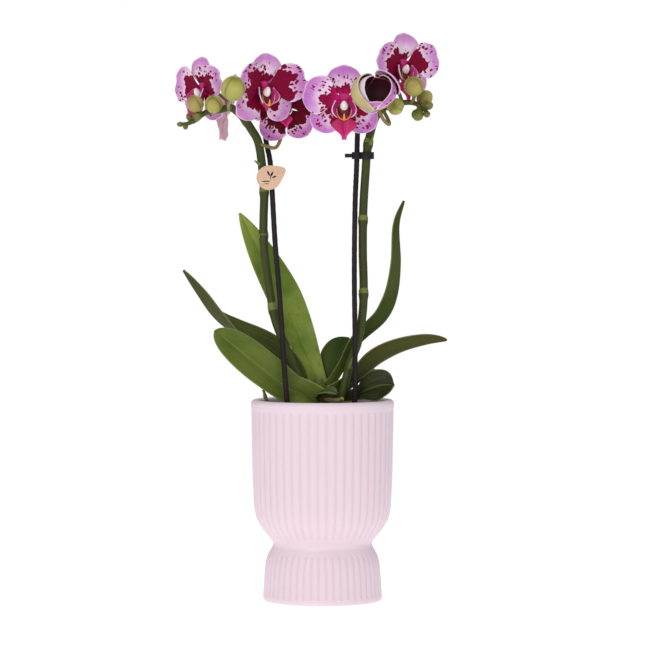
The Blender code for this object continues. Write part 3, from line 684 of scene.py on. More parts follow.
def ball(bm: bmesh.types.BMesh, place: Matrix, shape: Callable[[Vector], Vector],
         columns: int = 28, rows: int = 20) -> None:
    """Add a bent sphere: a unit sphere, shaped by a function, then placed."""
    layer = along_layer(bm)
    made = bmesh.ops.create_uvsphere(bm, u_segments=columns, v_segments=rows, radius=1.0)
    for vert in made["verts"]:
        vert[layer] = (vert.co.z + 1) / 2
        vert.co = place @ shape(vert.co)


# ---------------------------------------------------------------------------------- pot

@dataclass
class CoverPot:
    """The reeded cover pot: a bowl on a flared foot, glazed all over."""

    reeds: int = 48
    reed_depth: float = 0.00072
    steps: int = 480
    wall: float = 0.005
    floor: float = 0.006
    waist: float = 0.0352
    rim_round: float = 0.0022
    bowl_reeds: tuple[float, float] = (0.0452, 0.1400)
    foot_reeds: tuple[float, float] = (0.0030, 0.0365)
    outline: tuple[tuple[float, float], ...] = (
        (51.3, 145.0), (51.55, 143.2), (51.4, 139.0), (51.2, 136.6), (51.0, 125.0), (50.7, 108.0),
        (50.3, 88.0), (49.6, 70.5), (48.6, 62.8), (47.7, 59.3), (46.3, 56.2), (44.3, 53.0),
        (41.0, 48.8), (38.6, 45.9), (37.2, 44.0), (36.0, 42.4), (35.8, 41.3), (36.1, 39.3),
        (37.0, 37.5), (38.6, 34.7), (39.9, 32.0), (41.0, 28.0), (41.5, 24.0), (42.0, 18.0),
        (42.4, 11.0), (42.9, 4.4), (42.8, 1.4), (42.2, 0.35), (41.4, 0.0))

    def profile(self) -> list[Vector]:
        """The turned section, from the middle of its floor up, over the rim and down outside."""
        top = self.outline[0][1]
        outline = [Vector((r * MM, 0, z * MM / top * (RIM_Z / MM))) for r, z in self.outline]
        outer = curve_points(outline, 151)
        inner = [Vector((0, 0, self.floor)), Vector((0.012, 0, self.floor)),
                 Vector((0.026, 0, self.floor))]
        for point in reversed(outer[8:150:6]):
            if point.z > self.floor + 0.002:
                inner.append(Vector((point.x - self.wall, 0, point.z)))
        lip = outer[0].x
        crest = [Vector((lip - self.wall * 0.5 * (1 + math.cos(angle)), 0,
                         RIM_Z - self.rim_round + self.rim_round * math.sin(angle)))
                 for angle in (0.15, 0.5, 0.9, 1.3, 1.7, 2.1, 2.5)]
        foot = [Vector((0.030, 0, 0.0)), Vector((0, 0, 0.0))]
        return inner + crest + [p for p in outer if p.z < RIM_Z - 0.0018] + foot

    def reed(self, angle: float, height: float) -> float:
        """How deep the surface lies below its reeds' crests, from 0 to 1."""
        low, high = self.bowl_reeds
        bowl = ease((height - low) / 0.0035) * ease((high - height) / 0.0042)
        low, high = self.foot_reeds
        foot = ease((high - height) / 0.0035) * ease((height - low) / 0.0022)
        phase = (angle * self.reeds / math.tau + 0.5) % 1.0 - 0.5
        return (bowl + foot) * abs(phase * 2) ** 2.2

    def build(self) -> None:
        """Spin the section, press the reeds in and glaze it."""
        bm = bmesh.new()
        chain = [bm.verts.new(point) for point in self.profile()]
        edges = [bm.edges.new(pair) for pair in zip(chain, chain[1:])]
        bmesh.ops.spin(bm, geom=chain + edges, cent=(0, 0, 0), axis=(0, 0, 1), dvec=(0, 0, 0),
                       angle=math.tau, steps=self.steps, use_merge=True)
        bmesh.ops.remove_doubles(bm, verts=bm.verts, dist=1e-6)
        bmesh.ops.recalc_face_normals(bm, faces=bm.faces)
        layer = bm.verts.layers.float.new("valley")
        for vert in bm.verts:
            radius = math.hypot(vert.co.x, vert.co.y)
            outwards = vert.normal.dot(Vector((vert.co.x, vert.co.y, 0)))
            if radius < self.waist or outwards < 0.2 * radius:
                continue
            low = self.reed(math.atan2(vert.co.y, vert.co.x), vert.co.z)
            share = (radius - low * self.reed_depth) / radius
            vert.co.x *= share
            vert.co.y *= share
            vert[layer] = low
        add_piece("cover_pot", bm, [Glaze().material()], "ceramic", ["ceramic_pot"])


@dataclass
class Substrate:
    """The heaped bark: a dark mound under loose broken chips."""

    chips: int = 210
    seed: int = 11
    heap: float = 0.008
    bevel: float = 0.14
    accents: tuple[tuple[float, float, float, float, float], ...] = (
        (23.0, -27.0, 13.0, 20, 0.99), (33.0, -20.0, 11.0, -35, 0.88), (5.5, -33.0, 9.0, 8, 0.7),
        (-13.0, -30.0, 13.0, -15, 0.6), (-31.0, 14.0, 12.0, 40, 0.8), (12.0, 30.0, 12.0, 10, 0.7),
        (-16.0, 28.0, 13.0, -50, 0.5), (33.0, 12.0, 12.0, 80, 0.9))

    def height(self, reach: float) -> float:
        """Height of the mound at a distance from the axis."""
        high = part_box("nursery_pot")[1]
        return high[2] - 0.001 + self.heap * (1 - (reach / high[0]) ** 2)

    def chip(self, bm: bmesh.types.BMesh, place: Vector, length: float, turn: float, tone: float,
             pick: random.Random) -> None:
        """Add one broken chip, bevelled and bent a little."""
        layer = bm.verts.layers.float.get("chip")
        size = Matrix.Diagonal((length, length * pick.uniform(0.45, 0.75),
                                length * pick.uniform(0.22, 0.4), 1.0))
        lean = Matrix.Rotation(pick.uniform(-0.35, 0.35), 4, 'X')
        tip = Matrix.Rotation(pick.uniform(-0.3, 0.3), 4, 'Y')
        matrix = Matrix.Translation(place) @ Matrix.Rotation(turn, 4, 'Z') @ lean @ tip @ size
        made = bmesh.ops.create_cube(bm, size=1.0)["verts"]
        edges = list({edge for vert in made for edge in vert.link_edges})
        cut = bmesh.ops.bevel(bm, geom=edges, offset=self.bevel, segments=1, profile=0.5,
                              affect='EDGES', material=-1)
        verts = list({v for f in cut["faces"] for v in f.verts} | {v for v in made if v.is_valid})
        shift = pick.random() * 50
        for vert in verts:
            ripple = noise.noise_vector(vert.co * 1.9 + Vector((shift, 0, 0)))
            vert.co = matrix @ (vert.co + ripple * 0.22)
            vert[layer] = tone

    def build(self) -> None:
        """Build the mound and scatter the chips."""
        pick = random.Random(self.seed)
        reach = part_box("nursery_pot")[1][0] - 0.0022
        bm = bmesh.new()
        layer = bm.verts.layers.float.new("chip")
        made = bmesh.ops.create_circle(bm, cap_ends=True, segments=64, radius=reach)
        bmesh.ops.translate(bm, verts=made["verts"], vec=(0, 0, self.height(reach) - 0.006))
        for _ in range(2):
            bmesh.ops.inset_region(bm, faces=[f for f in bm.faces if len(f.verts) > 4],
                                   thickness=reach * 0.3, depth=0.0)
        deep = bmesh.ops.extrude_face_region(bm, geom=bm.faces[:])["geom"]
        lifted = [item for item in deep if isinstance(item, bmesh.types.BMVert)]
        for vert in lifted:
            vert.co.z = self.height(vert.co.xy.length) - 0.0022
        for vert in bm.verts:
            vert[layer] = 0.08
        bmesh.ops.recalc_face_normals(bm, faces=bm.faces)
        for x, y, length, turn, tone in self.accents:
            radial = Vector((x, y)) * MM
            radial = radial.normalized() * min(radial.length, reach * 0.80)
            place = Vector((radial.x, radial.y, self.height(radial.length) - 0.0002))
            self.chip(bm, place, length * MM * 0.92, math.radians(turn), tone, pick)
        for index in range(self.chips):
            radius = math.sqrt((index + 0.5) / self.chips) * reach * 0.88
            angle = index * GOLDEN_TURN + pick.uniform(-0.2, 0.2)
            length = pick.uniform(0.0055, 0.0105)
            sink = -0.0012 - 0.0016 * (radius / reach)
            place = Vector((radius * math.cos(angle), radius * math.sin(angle),
                            self.height(radius) + sink))
            self.chip(bm, place, length, pick.uniform(0, math.tau), pick.uniform(0.12, 0.86), pick)
        piece = finish_mesh("bark_chips", bm, [Bark().material()], smooth=False)
        settle(piece, "bark", "bark_substrate")


# --------------------------------------------------------------------------------- leaves

@dataclass(frozen=True)
class LeafPlan:
    """One leaf: its spine in mm, its width, which way its face looks and how it folds."""

    name: str
    foot: tuple[Place, ...]
    spine: tuple[Place, ...]
    width: float
    face_base: Place
    face_tip: Place
    fold: float
    tone: str
    deep: str
    under: str
    bright: float = 0.5
    wave: float = 0.0
    point: float = 0.4
    foot_share: float = 0.42


LEAVES = (
    LeafPlan("leaf_front_left", ((-5, -5, -3),),
             ((-15, -10.5, 4.5), (-25, -13, 9), (-45, -16, 24), (-62, -17, 38), (-77, -17, 50)),
             27, (.3, -1, .35), (.25, -1, .25), .10, "5F6E2A", "4C5E1A", "4B5220", 0.5,
             0.25, 0.15, 0.80),
    LeafPlan("leaf_long_left", ((-4, 2, -3),),
             ((-13.5, 3, 7), (-21, 5, 20), (-38, 5, 36), (-63, 5, 48), (-78, 3, 60),
              (-90, 1, 77), (-100, 0, 93)),
             22, (-.2, -.9, .5), (.75, .45, .75), .30, "46501F", "343C12", "4A4A26", 0.4,
             0.5, 0.6, 0.66),
    LeafPlan("leaf_upright_left", ((-2, 5, -2),),
             ((-3, 10.5, 9), (-12, 14, 34), (-27, 16, 70), (-44, 15, 103), (-60, 11, 134)),
             26, (.3, -1, .1), (.3, -1, .1), .16, "8A9C42", "5E7A22", "5A7026", 0.75,
             0.35, 0.7, 0.52),
    LeafPlan("leaf_wavy_right", ((2, 4, -2),),
             ((6, 8, 7), (16, 12, 23.5), (27, 14, 41), (45, 14, 57), (53, 13, 74),
              (55.5, 12, 98), (54.5, 11, 125), (58.6, 10, 143)),
             23, (-.5, .55, 1), (-.95, -.1, .3), .30, "4C5F1E", "35450F", "46501F", 0.5, 0.4, 0.7),
    LeafPlan("leaf_right", ((2, 0, -2),),
             ((7, 1, 5), (17, 5, 12), (28, 7, 17), (41, 7, 27), (56, 5, 35), (74, 2, 40.5),
              (89.4, -1, 43)),
             25, (-.2, .45, 1), (0, .5, 1), .22, "4A5018", "3A400F", "454515", 0.4, 0.35, 0.5),
    # leaf_low_right: its three colours are darkened well below the other leaves' greens, painted
    # shade for the shadow that it lies in.
    LeafPlan("leaf_low_right", ((5, -2, -2), (15, -2, 0)),
             ((25, -3, 3.5), (33, -6, 7.5), (42, -9, 10.5), (51, -12, 11)),
             24, (0, -1, .5), (.1, -1, .4), .12, "262B0C", "191C08", "1C210A", 0.3, 0.2, 0.0),
    LeafPlan("leaf_back_middle", ((3, 8, 0),),
             ((6, 15.5, 11), (9, 20, 22), (13, 25, 33), (19, 29, 43)),
             24, (-.5, .9, .3), (-.4, .9, .2), .25, "4A5E22", "38491A", "44571F", 0.5, 0.2),
    LeafPlan("leaf_back_right", ((4, 6, -3),),
             ((10, 15.5, 0), (20, 20.5, 8.5), (31, 23.5, 15.5), (42, 24.5, 17.5)),
             23, (-.2, -.4, 1), (.1, -.2, 1), .20, "3A4A1C", "2A3714", "36431D", 0.4, 0.3),
    LeafPlan("leaf_low_front", ((-3, -4, -1),),
             ((-3, -10, 2), (0, -15, 5.5), (5, -19, 6.5), (10, -23, 5)),
             11, (0, -.6, 1), (.2, -.6, 1), .15, "3F4F1E", "2C3A15", "37451B", 0.4, 0.1),
)


@dataclass
class Leaf:
    """A thick strap leaf with a grooved midrib, a thin rim and a clasping foot."""

    plan: LeafPlan
    thickness: float = 0.0017
    columns: int = 18
    rows: int = 60
    groove: float = 0.0011
    tip_rows: float = 1.6

    def width_share(self, t: float) -> float:
        """Width along the leaf, as a share of its widest."""
        swell = blend(self.plan.foot_share, 1.0, ease(t / 0.55))
        late = min(max(t - 0.5, 0.0) / 0.5, 1.0)
        blunt = math.sqrt(max(1 - late ** 2.6, 0.0))
        acute = 1 - late ** 1.9
        return max(swell * blend(blunt, acute, self.plan.point), 0.02)

    def surface(self, across: float, t: float) -> Vector:
        """A point of the middle surface: the clasping foot first, then the blade."""
        plan = self.plan
        points = [plant(*place) for place in plan.foot + plan.spine]
        lead = len(plan.foot) / (len(points) - 1)
        here = along_curve(points, t)
        ahead = (along_curve(points, t + 0.01) - along_curve(points, t - 0.01)).normalized()
        blade = max((t - lead) / (1 - lead), 0.0)
        face = Vector(plan.face_base).lerp(Vector(plan.face_tip), blade)
        face = (face - ahead * face.dot(ahead)).normalized()
        side = ahead.cross(face)
        half = plan.width * MM / 2 * self.width_share(blade)
        clasp = 1 - ease(t / (lead + 0.12))
        fold = plan.fold + 0.55 * clasp
        ripple = plan.wave * 0.0011 * math.sin(t * 13 + across * 1.3) * abs(across) ** 2
        dip = -self.groove * math.exp(-(across / 0.13) ** 2) * (1 - 0.6 * t)
        lift = abs(across) ** 1.4 * fold * half * 2 + ripple * ease(t * 2) + dip
        return here + side * across * half * (1 - 0.25 * clasp) + face * lift

    def even(self, across: float, t: float) -> Vector:
        """The surface, with its rows drawn together towards the tip."""
        return self.surface(across, 1 - (1 - t) ** self.tip_rows)

    def build(self) -> None:
        """Bend the grid, thicken it and skin both sides."""
        plan = self.plan
        bm, _ = sheet_grid(self.columns, self.rows, self.even, False)
        upper = LeafSkin(Blade.UPPER, plan.tone, plan.deep, plan.bright).material()
        under = LeafSkin(Blade.LOWER, plan.under, plan.deep, plan.bright * 0.6).material()
        piece = finish_mesh(plan.name + "_blade", bm, [upper, under])
        thin = piece.vertex_groups.new(name="thin")
        for vert in piece.data.vertices:
            rim = abs(piece.data.attributes["blade"].data[vert.index].vector[0])
            thin.add([vert.index], 1 - 0.65 * ease((rim - 0.5) / 0.5), 'REPLACE')
        thicken(piece, self.thickness)
        wall = piece.modifiers["wall"]
        wall.vertex_group = "thin"
        wall.thickness_vertex_group = 0.3
        soft = piece.modifiers.new("soft", 'SUBSURF')
        soft.levels = 1
        soft.render_levels = 1
        settle(piece, "leaf", plan.name)


# --------------------------------------------------------------------------------- flowers

@dataclass(frozen=True)
class FlowerPlan:
    """One flower: middle in mm, turn, nod, roll, petal cup, sepal spread, size and marks."""

    name: str
    middle: Place
    turn: float
    nod: float
    roll: float
    cup: float
    spread: float
    size: float
    bloom: Bloom
    stem: str
    petal_reach: float
    sepal_reach: float
    wash: float = 0.0
    lip_share: float = 1.0
    lobe_share: float = 1.0

    def frame(self) -> Matrix:
        """The flower's own frame: +X right, +Y up, +Z out of its face."""
        heading = Matrix.Rotation(math.radians(self.turn), 4, 'Z')
        bow = Matrix.Rotation(math.radians(self.nod), 4, 'X')
        spin = Matrix.Rotation(math.radians(self.roll), 4, 'Z')
        return Matrix.Translation(plant(*self.middle)) @ heading @ bow @ UPRIGHT @ spin


FLOWERS = (
    FlowerPlan("flower_a", (-86.4, 26, 223), -50, 2, 0, 12, 45, 0.92, Bloom.BRIGHT,
               "left_flower_stem", 0.90, 0.85),
    FlowerPlan("flower_b", (-70.0, 50, 212), -100, -12, 0, 4, 26, 0.92, Bloom.BRIGHT,
               "left_flower_stem", 0.8, 0.5, 0.0, 0.5, 0.5),
    FlowerPlan("flower_c", (-43.0, -15.5, 222.5), 35, 3, 0, 27, 48, 0.98, Bloom.BRIGHT,
               "left_flower_stem", 1.15, 0.9, 0.0, 0.6),
    FlowerPlan("flower_d", (-27.5, 5, 210.5), 4, 8, 6, 6, 34, 0.92, Bloom.DEEP,
               "left_flower_stem", 1.0, 0.85, 0.0, 0.6, 0.6),
    FlowerPlan("flower_e", (15.4, -23, 213.6), 0, 12, 0, 8, 48, 1.0, Bloom.CLEAR,
               "right_flower_stem", 1.0, 1.15, 1.0),
    FlowerPlan("flower_f", (57.0, 8, 239.5), 34, 4, 0, 18, 46, 0.92, Bloom.BRIGHT,
               "right_flower_stem", 0.95, 0.7),
)


class Finishes:
    """Finishes that several flower pieces share, each made once."""

    def __init__(self) -> None:
        """Make the shared materials."""
        self.back = PetalBack().material()
        self.lip = Stops("lip_skin", ((0.0, "7E0834"), (0.35, "B00C50"), (0.7, "CC1C70"),
                                      (1.0, "DC3C98")), "8E1048", 0.35, 600, 0.4).material()
        self.lobe = Stops("lip_lobe_skin", ((0.0, "F3E6E2"), (0.3, "B4186C"), (0.72, "C0308C"),
                                            (1.0, "F1DCEC")), "941058", 0.3, 600, 0.42).material()
        self.callus = Stops("lip_callus", ((0.0, "E9A63C"), (0.6, "E8B04A"), (1.0, "F0D9A0")),
                            "B4431E", 0.4, 1400, 0.4).material()
        self.throat = Stops("lip_throat", ((0.0, "3A0710"), (0.6, "4E0A1A"), (1.0, "6B1024")),
                            "8A5A2A", 0.25, 1200, 0.5).material()
        self.cap = Stops("pollen_cap", ((0.0, "E9CFD9"), (0.4, "F6EEEA"), (1.0, "FBF8F3")),
                         "DDB8CC", 0.3, 700, 0.38).material()
        self.green = Stops("stem_skin", ((0.0, "3E4A16"), (0.5, "363F10"), (0.8, "4A5618"),
                                         (1.0, "5E6826")), "3A2C16", 0.4, 300, 0.5).material()
        self.sheath = Stops("sheath_skin", ((0.0, "56642A"), (0.5, "6A7832"), (1.0, "7E8240")),
                            "5E5030", 0.25, 420, 0.5).material()
        self.young = Stops("young_bud_skin", ((0.0, "4C5A20"), (0.5, "6F7832"), (1.0, "80803A")),
                           "5E3E2A", 0.5, 420, 0.42, "3E4418").material()
        self.stalk = Stops("stalk_skin", ((0.0, "6E7434"), (0.5, "9A7A4E"), (1.0, "B08A78")),
                           "7C4A3E", 0.45, 500, 0.45).material()
        self.bud = Stops("bud_skin", ((0.0, "74802E"), (0.35, "A2A24A"), (0.75, "B8B060"),
                                      (0.93, "A8A64C"), (1.0, "7E8636")), "A4745C", 0.6, 210,
                         0.4, "66662A").material()


@dataclass
class Flower:
    """A moth orchid flower: three sepals, two petals, a three-lobed lip and a column."""

    plan: FlowerPlan
    finishes: Finishes
    columns: int = 34
    thickness: float = 0.0007
    column_radius: float = 0.0019
    claw: float = 0.34
    layer: float = 0.0011
    heart: float = 6.5

    def tepal(self, word: str, angle: float, reach: float, width: float, layer: float,
              cup: float, side: int, seed: float) -> None:
        """Build one sepal or petal, which stands for its own node.

        Args:
            word: Its name after the flower's.
            angle: The way it points round the flower, in degrees from the right.
            reach: How far it goes from the middle.
            width: Its greatest width.
            layer: How far it lies in front of the sepals.
            cup: How far it bends forwards, in degrees.
            side: The side that it keeps to, -1 or 1, or 0.
            seed: Shifts its marks and ruffles.
        """
        plan = self.plan
        start = self.column_radius + 0.0006
        length = reach - start
        turn = math.radians(angle)
        along_x, along_y = math.cos(turn), math.sin(turn)
        matrix = plan.frame()
        petal = "petal" in word

        def shape(p: float, t: float) -> Vector:
            """The blade's middle surface, with ruffles growing towards the rim."""
            along = start + length * t
            across = p * width / 2 * blend(self.claw, 1.0, ease(t / 0.55))
            lift = layer + math.tan(math.radians(cup)) * along - 0.10 * along * t * t
            trough = 0.25 * across * across / width
            rim = max(abs(p), t) ** 3
            ruffle = noise.noise(Vector((p * 2.1 + seed * 3, t * 2.6, seed))) * 0.0021 * rim
            ruffle += 0.0007 * math.sin(t * 7 + seed * 5) * abs(p) ** 3
            keel = -0.0008 * math.exp(-(p / 0.12) ** 2) * (1 - t)
            notch = 0.0009 * math.exp(-(p / 0.18) ** 2) * ease((t - 0.8) / 0.2)
            along -= notch if petal else -notch * 0.5
            x = along * along_x - across * along_y
            y = along * along_y + across * along_x
            if side:
                x = side * max(side * x, 0.0007)
            return matrix @ Vector((x, y, lift + trough + ruffle + keel))

        bm, blade = sheet_grid(self.columns, self.columns, shape, True)
        spots = bm.verts.layers.float_vector.new("spots")
        for vert in bm.verts:
            p, t, _ = vert[blade]
            vert[spots] = Vector((p * width / 2 / MM * blend(0.55, 1, t), length * t / MM, 0))
        share = plan.petal_reach if petal else plan.sepal_reach
        if "dorsal" in word:
            share *= 0.8
        face = PetalSkin(plan.bloom, round(seed, 2), share, plan.wash).material()
        piece = finish_mesh(f"{plan.name}_{word}_blade", bm, [face, self.finishes.back])
        front = matrix.to_3x3() @ Vector((0, 0, 1))
        if sum(face.normal.dot(front) * face.area for face in piece.data.polygons) < 0:
            piece.data.flip_normals()
        thicken(piece, self.thickness)
        settle(piece, "petal" if petal else "sepal", f"{plan.name}_{word}")

    def midlobe(self, size: float) -> None:
        """Build the lip's midlobe: a creased rhombus with a pointed tip.

        Args:
            size: One mm of a flower of full size.
        """
        matrix = self.plan.frame()
        route = [Vector((0, up, out)) for up, out in
                 ((-5.8, 2.4), (-9.6, 6.6), (-13.6, 9.2), (-19.0, 11.4), (-24.5, 12.4))]

        def shape(p: float, t: float) -> Vector:
            """The rhombus, creased down its middle and horned at its tip."""
            here = along_curve(route, t)
            width = blend(2.6, 8.9, ease((t - 0.22) / 0.34)) \
                * blend(1, 0.13, ease((t - 0.56) / 0.42))
            crease = -1.5 * math.exp(-(p / 0.22) ** 2) * ease(t * 1.6)
            sag = -1.5 * abs(p) ** 2 * ease((t - 0.3) / 0.4)
            horn = -1.3 * ease((t - 0.88) / 0.12) * abs(p)
            return matrix @ (Vector((p * width, here.y + horn, here.z + crease + sag)) * size)

        bm, blade = sheet_grid(20, 30, shape, False)
        tone = along_layer(bm)
        for vert in bm.verts:
            # The right half gets 0.16 more tone: a painted highlight that makes the right facet of
            # the crease lighter than the left.
            vert[tone] = vert[blade][1] * 0.8 + 0.16 * (vert[blade][0] > 0)
        add_piece(f"{self.plan.name}_midlobe", bm, [self.finishes.lip], "lip",
                  [f"{self.plan.name}_lip"], self.thickness * 1.4)

    def side_lobe(self, side: int, word: str, size: float) -> None:
        """Build a raised ear beside the column, curling in at its top.

        Args:
            side: -1 for the left one and 1 for the right one.
            word: The side's name.
            size: One mm of a flower of full size.
        """
        matrix = self.plan.frame()

        def shape(p: float, t: float) -> Vector:
            """A point of the ear."""
            width = 4.0 * math.sin(math.pi * min(t * 0.86 + 0.14, 1.0)) ** 0.7
            out = 3.6 + 3.2 * math.sin(t * 2.2) + p * width * 0.55
            up = -10.6 + 12.4 * t - 0.6 * p * p
            front = 7.6 + p * width * 0.9 - 2.6 * t * t
            return matrix @ (Vector((side * out, up, front)) * size)

        bm, blade = sheet_grid(14, 18, shape, True)
        tone = along_layer(bm)
        for vert in bm.verts:
            _, t, rim = vert[blade]
            vert[tone] = blend(0.45, 1.0, ease((rim - 0.78) / 0.22)) * ease(t * 3 + 0.5)
        add_piece(f"{self.plan.name}_side_lobe_{word}", bm, [self.finishes.lobe], "lip",
                  [f"{self.plan.name}_lip", self.plan.stem], self.thickness * 1.3)

    def throat(self, size: float) -> None:
        """Build the callus, with its tooth, and the dark hollow behind it.

        Args:
            size: One mm of a flower of full size.
        """
        name, matrix = self.plan.name, self.plan.frame()
        nodes = [f"{name}_lip", self.plan.stem]
        rim, tooth = ([matrix @ (Vector(spot) * size) for spot in spots] for spots in (
            ((-5.4, -3.4, 8.6), (-4.9, -7.2, 9.0), (-2.9, -10.4, 9.2), (0, -11.4, 9.4),
             (2.9, -10.4, 9.2), (4.9, -7.2, 9.0), (5.4, -3.4, 8.6)),
            ((0, -11.2, 9.0), (0, -9.4, 10.2), (0.1, -7.0, 9.6))))
        radii = [share * size for share in (0.14, 0.24, 0.30, 0.40, 0.30, 0.24, 0.14)]
        girth = [radii[round(index / 20 * 6)] for index in range(21)]
        tubes = [(curve_points(rim, 21), girth, None),
                 (tooth, [1.2 * size, 0.8 * size, 0.3 * size], None)]
        tube_piece(f"{name}_callus", tubes, self.finishes.callus, 10, "lip", *nodes)

        bm = bmesh.new()
        hollow = matrix @ Matrix.Translation(Vector((0, -6.4, 4.2)) * size)
        ball(bm, hollow, lambda v: Vector((v.x * 4.9, v.y * 5.4, v.z * 2.6)) * size, 24, 14)
        add_piece(f"{name}_throat", bm, [self.finishes.throat], "lip", nodes)

    def column(self) -> None:
        """Build the column with its white cap and the dish behind it."""
        plan, size = self.plan, self.plan.size * MM
        matrix = plan.frame()
        bm = bmesh.new()
        tilt = Matrix.Rotation(math.radians(26), 4, 'X')
        seat = matrix @ Matrix.Translation(Vector((0, -2.0, 5.9)) * size) @ tilt

        def egg(v: Vector) -> Vector:
            """The cap: a blunt egg, narrower above."""
            taper = 1 - 0.30 * max(v.y, 0)
            return Vector((v.x * 2.9 * taper, v.y * 4.6, v.z * 2.6 + 0.3 * v.y)) * size

        ball(bm, seat, egg, 24, 18)
        add_piece(f"{plan.name}_cap", bm, [self.finishes.cap], "lip", [plan.stem])
        slope = math.tan(math.radians(plan.cup))

        def dish(v: Vector) -> Vector:
            """The heart: a shallow dish that closes the gaps between the claws."""
            reach = math.hypot(v.x, v.y) * self.heart
            return Vector((v.x * self.heart, v.y * self.heart,
                           0.5 + 0.45 * v.z + reach * slope * 0.6)) * size

        bm = bmesh.new()
        ball(bm, matrix, dish, 32, 12)
        add_piece(f"{plan.name}_heart", bm, [self.finishes.lip], "lip", [plan.stem])
        neck = [matrix @ (Vector(spot) * size) for spot in
                ((0, 0, -2.6), (0, -0.1, 0.6), (0, -0.8, 3.0), (0, -1.9, 4.8))]
        radii = [r * size for r in (1.5, 2.0, 2.5, 2.4)]
        tube_piece(f"{plan.name}_column", [(neck, radii, None)], self.finishes.lip, 14, "lip",
                   plan.stem)

    def build(self) -> None:
        """Build every piece of the flower."""
        size, cup = self.plan.size, self.plan.cup
        seed = sum(ord(letter) for letter in self.plan.name) % 17 * 0.37
        self.tepal("dorsal_sepal", 90, 0.0262 * size, 0.0260 * size, 0.0, cup * 0.5, 0, seed)
        for side, word in SIDES:
            self.tepal(f"lateral_sepal_{word}", -90 + side * self.plan.spread, 0.0290 * size,
                       0.0235 * size, 0.0, cup * 0.3, side, seed + 3.1 + side)
            self.tepal(f"petal_{word}", 18 if side > 0 else 162, 0.0305 * size, 0.0290 * size,
                       self.layer, cup, side, seed + 7.7 + side * 1.9)
        self.midlobe(size * self.plan.lip_share * MM)
        for side, word in SIDES:
            self.side_lobe(side, word, size * self.plan.lobe_share * MM)
        self.throat(size * self.plan.lobe_share * MM)
        self.column()


# ------------------------------------------------------------------------- stems and buds

@dataclass(frozen=True)
class BudPlan:
    """One bud: middle in mm, width, length and the way its tip points."""

    name: str
    middle: Place
    across: float
    along: float
    tip: Place


@dataclass(frozen=True)
class StemPlan:
    """One flower stem with all that grows on it, in mm."""

    name: str
    spine: tuple[Place, ...]
    nodes: tuple[Place, ...]
    pedicels: dict[str, tuple[Place, ...]]
    stalks: tuple[tuple[tuple[Place, ...], str], ...]
    small_stalks: tuple[tuple[Place, ...], ...]
    small_buds: tuple[BudPlan, ...]
    bracts: tuple[tuple[Place, ...], ...]


BUDS = (
    BudPlan("left_bud_large", (-62.7, -53.5, 222.0), 17.5, 18.5, (0.1, -0.7, 0.9)),
    BudPlan("left_bud_middle", (-78, -11, 212), 13, 13.5, (-0.1, -0.7, 0.7)),
    BudPlan("right_bud_large", (65.5, -8, 225), 15, 14.5, (-0.1, -0.6, 0.8)),
    BudPlan("right_bud_middle", (52, -12.5, 210.5), 13, 14, (-0.1, -1.0, -0.1)),
)

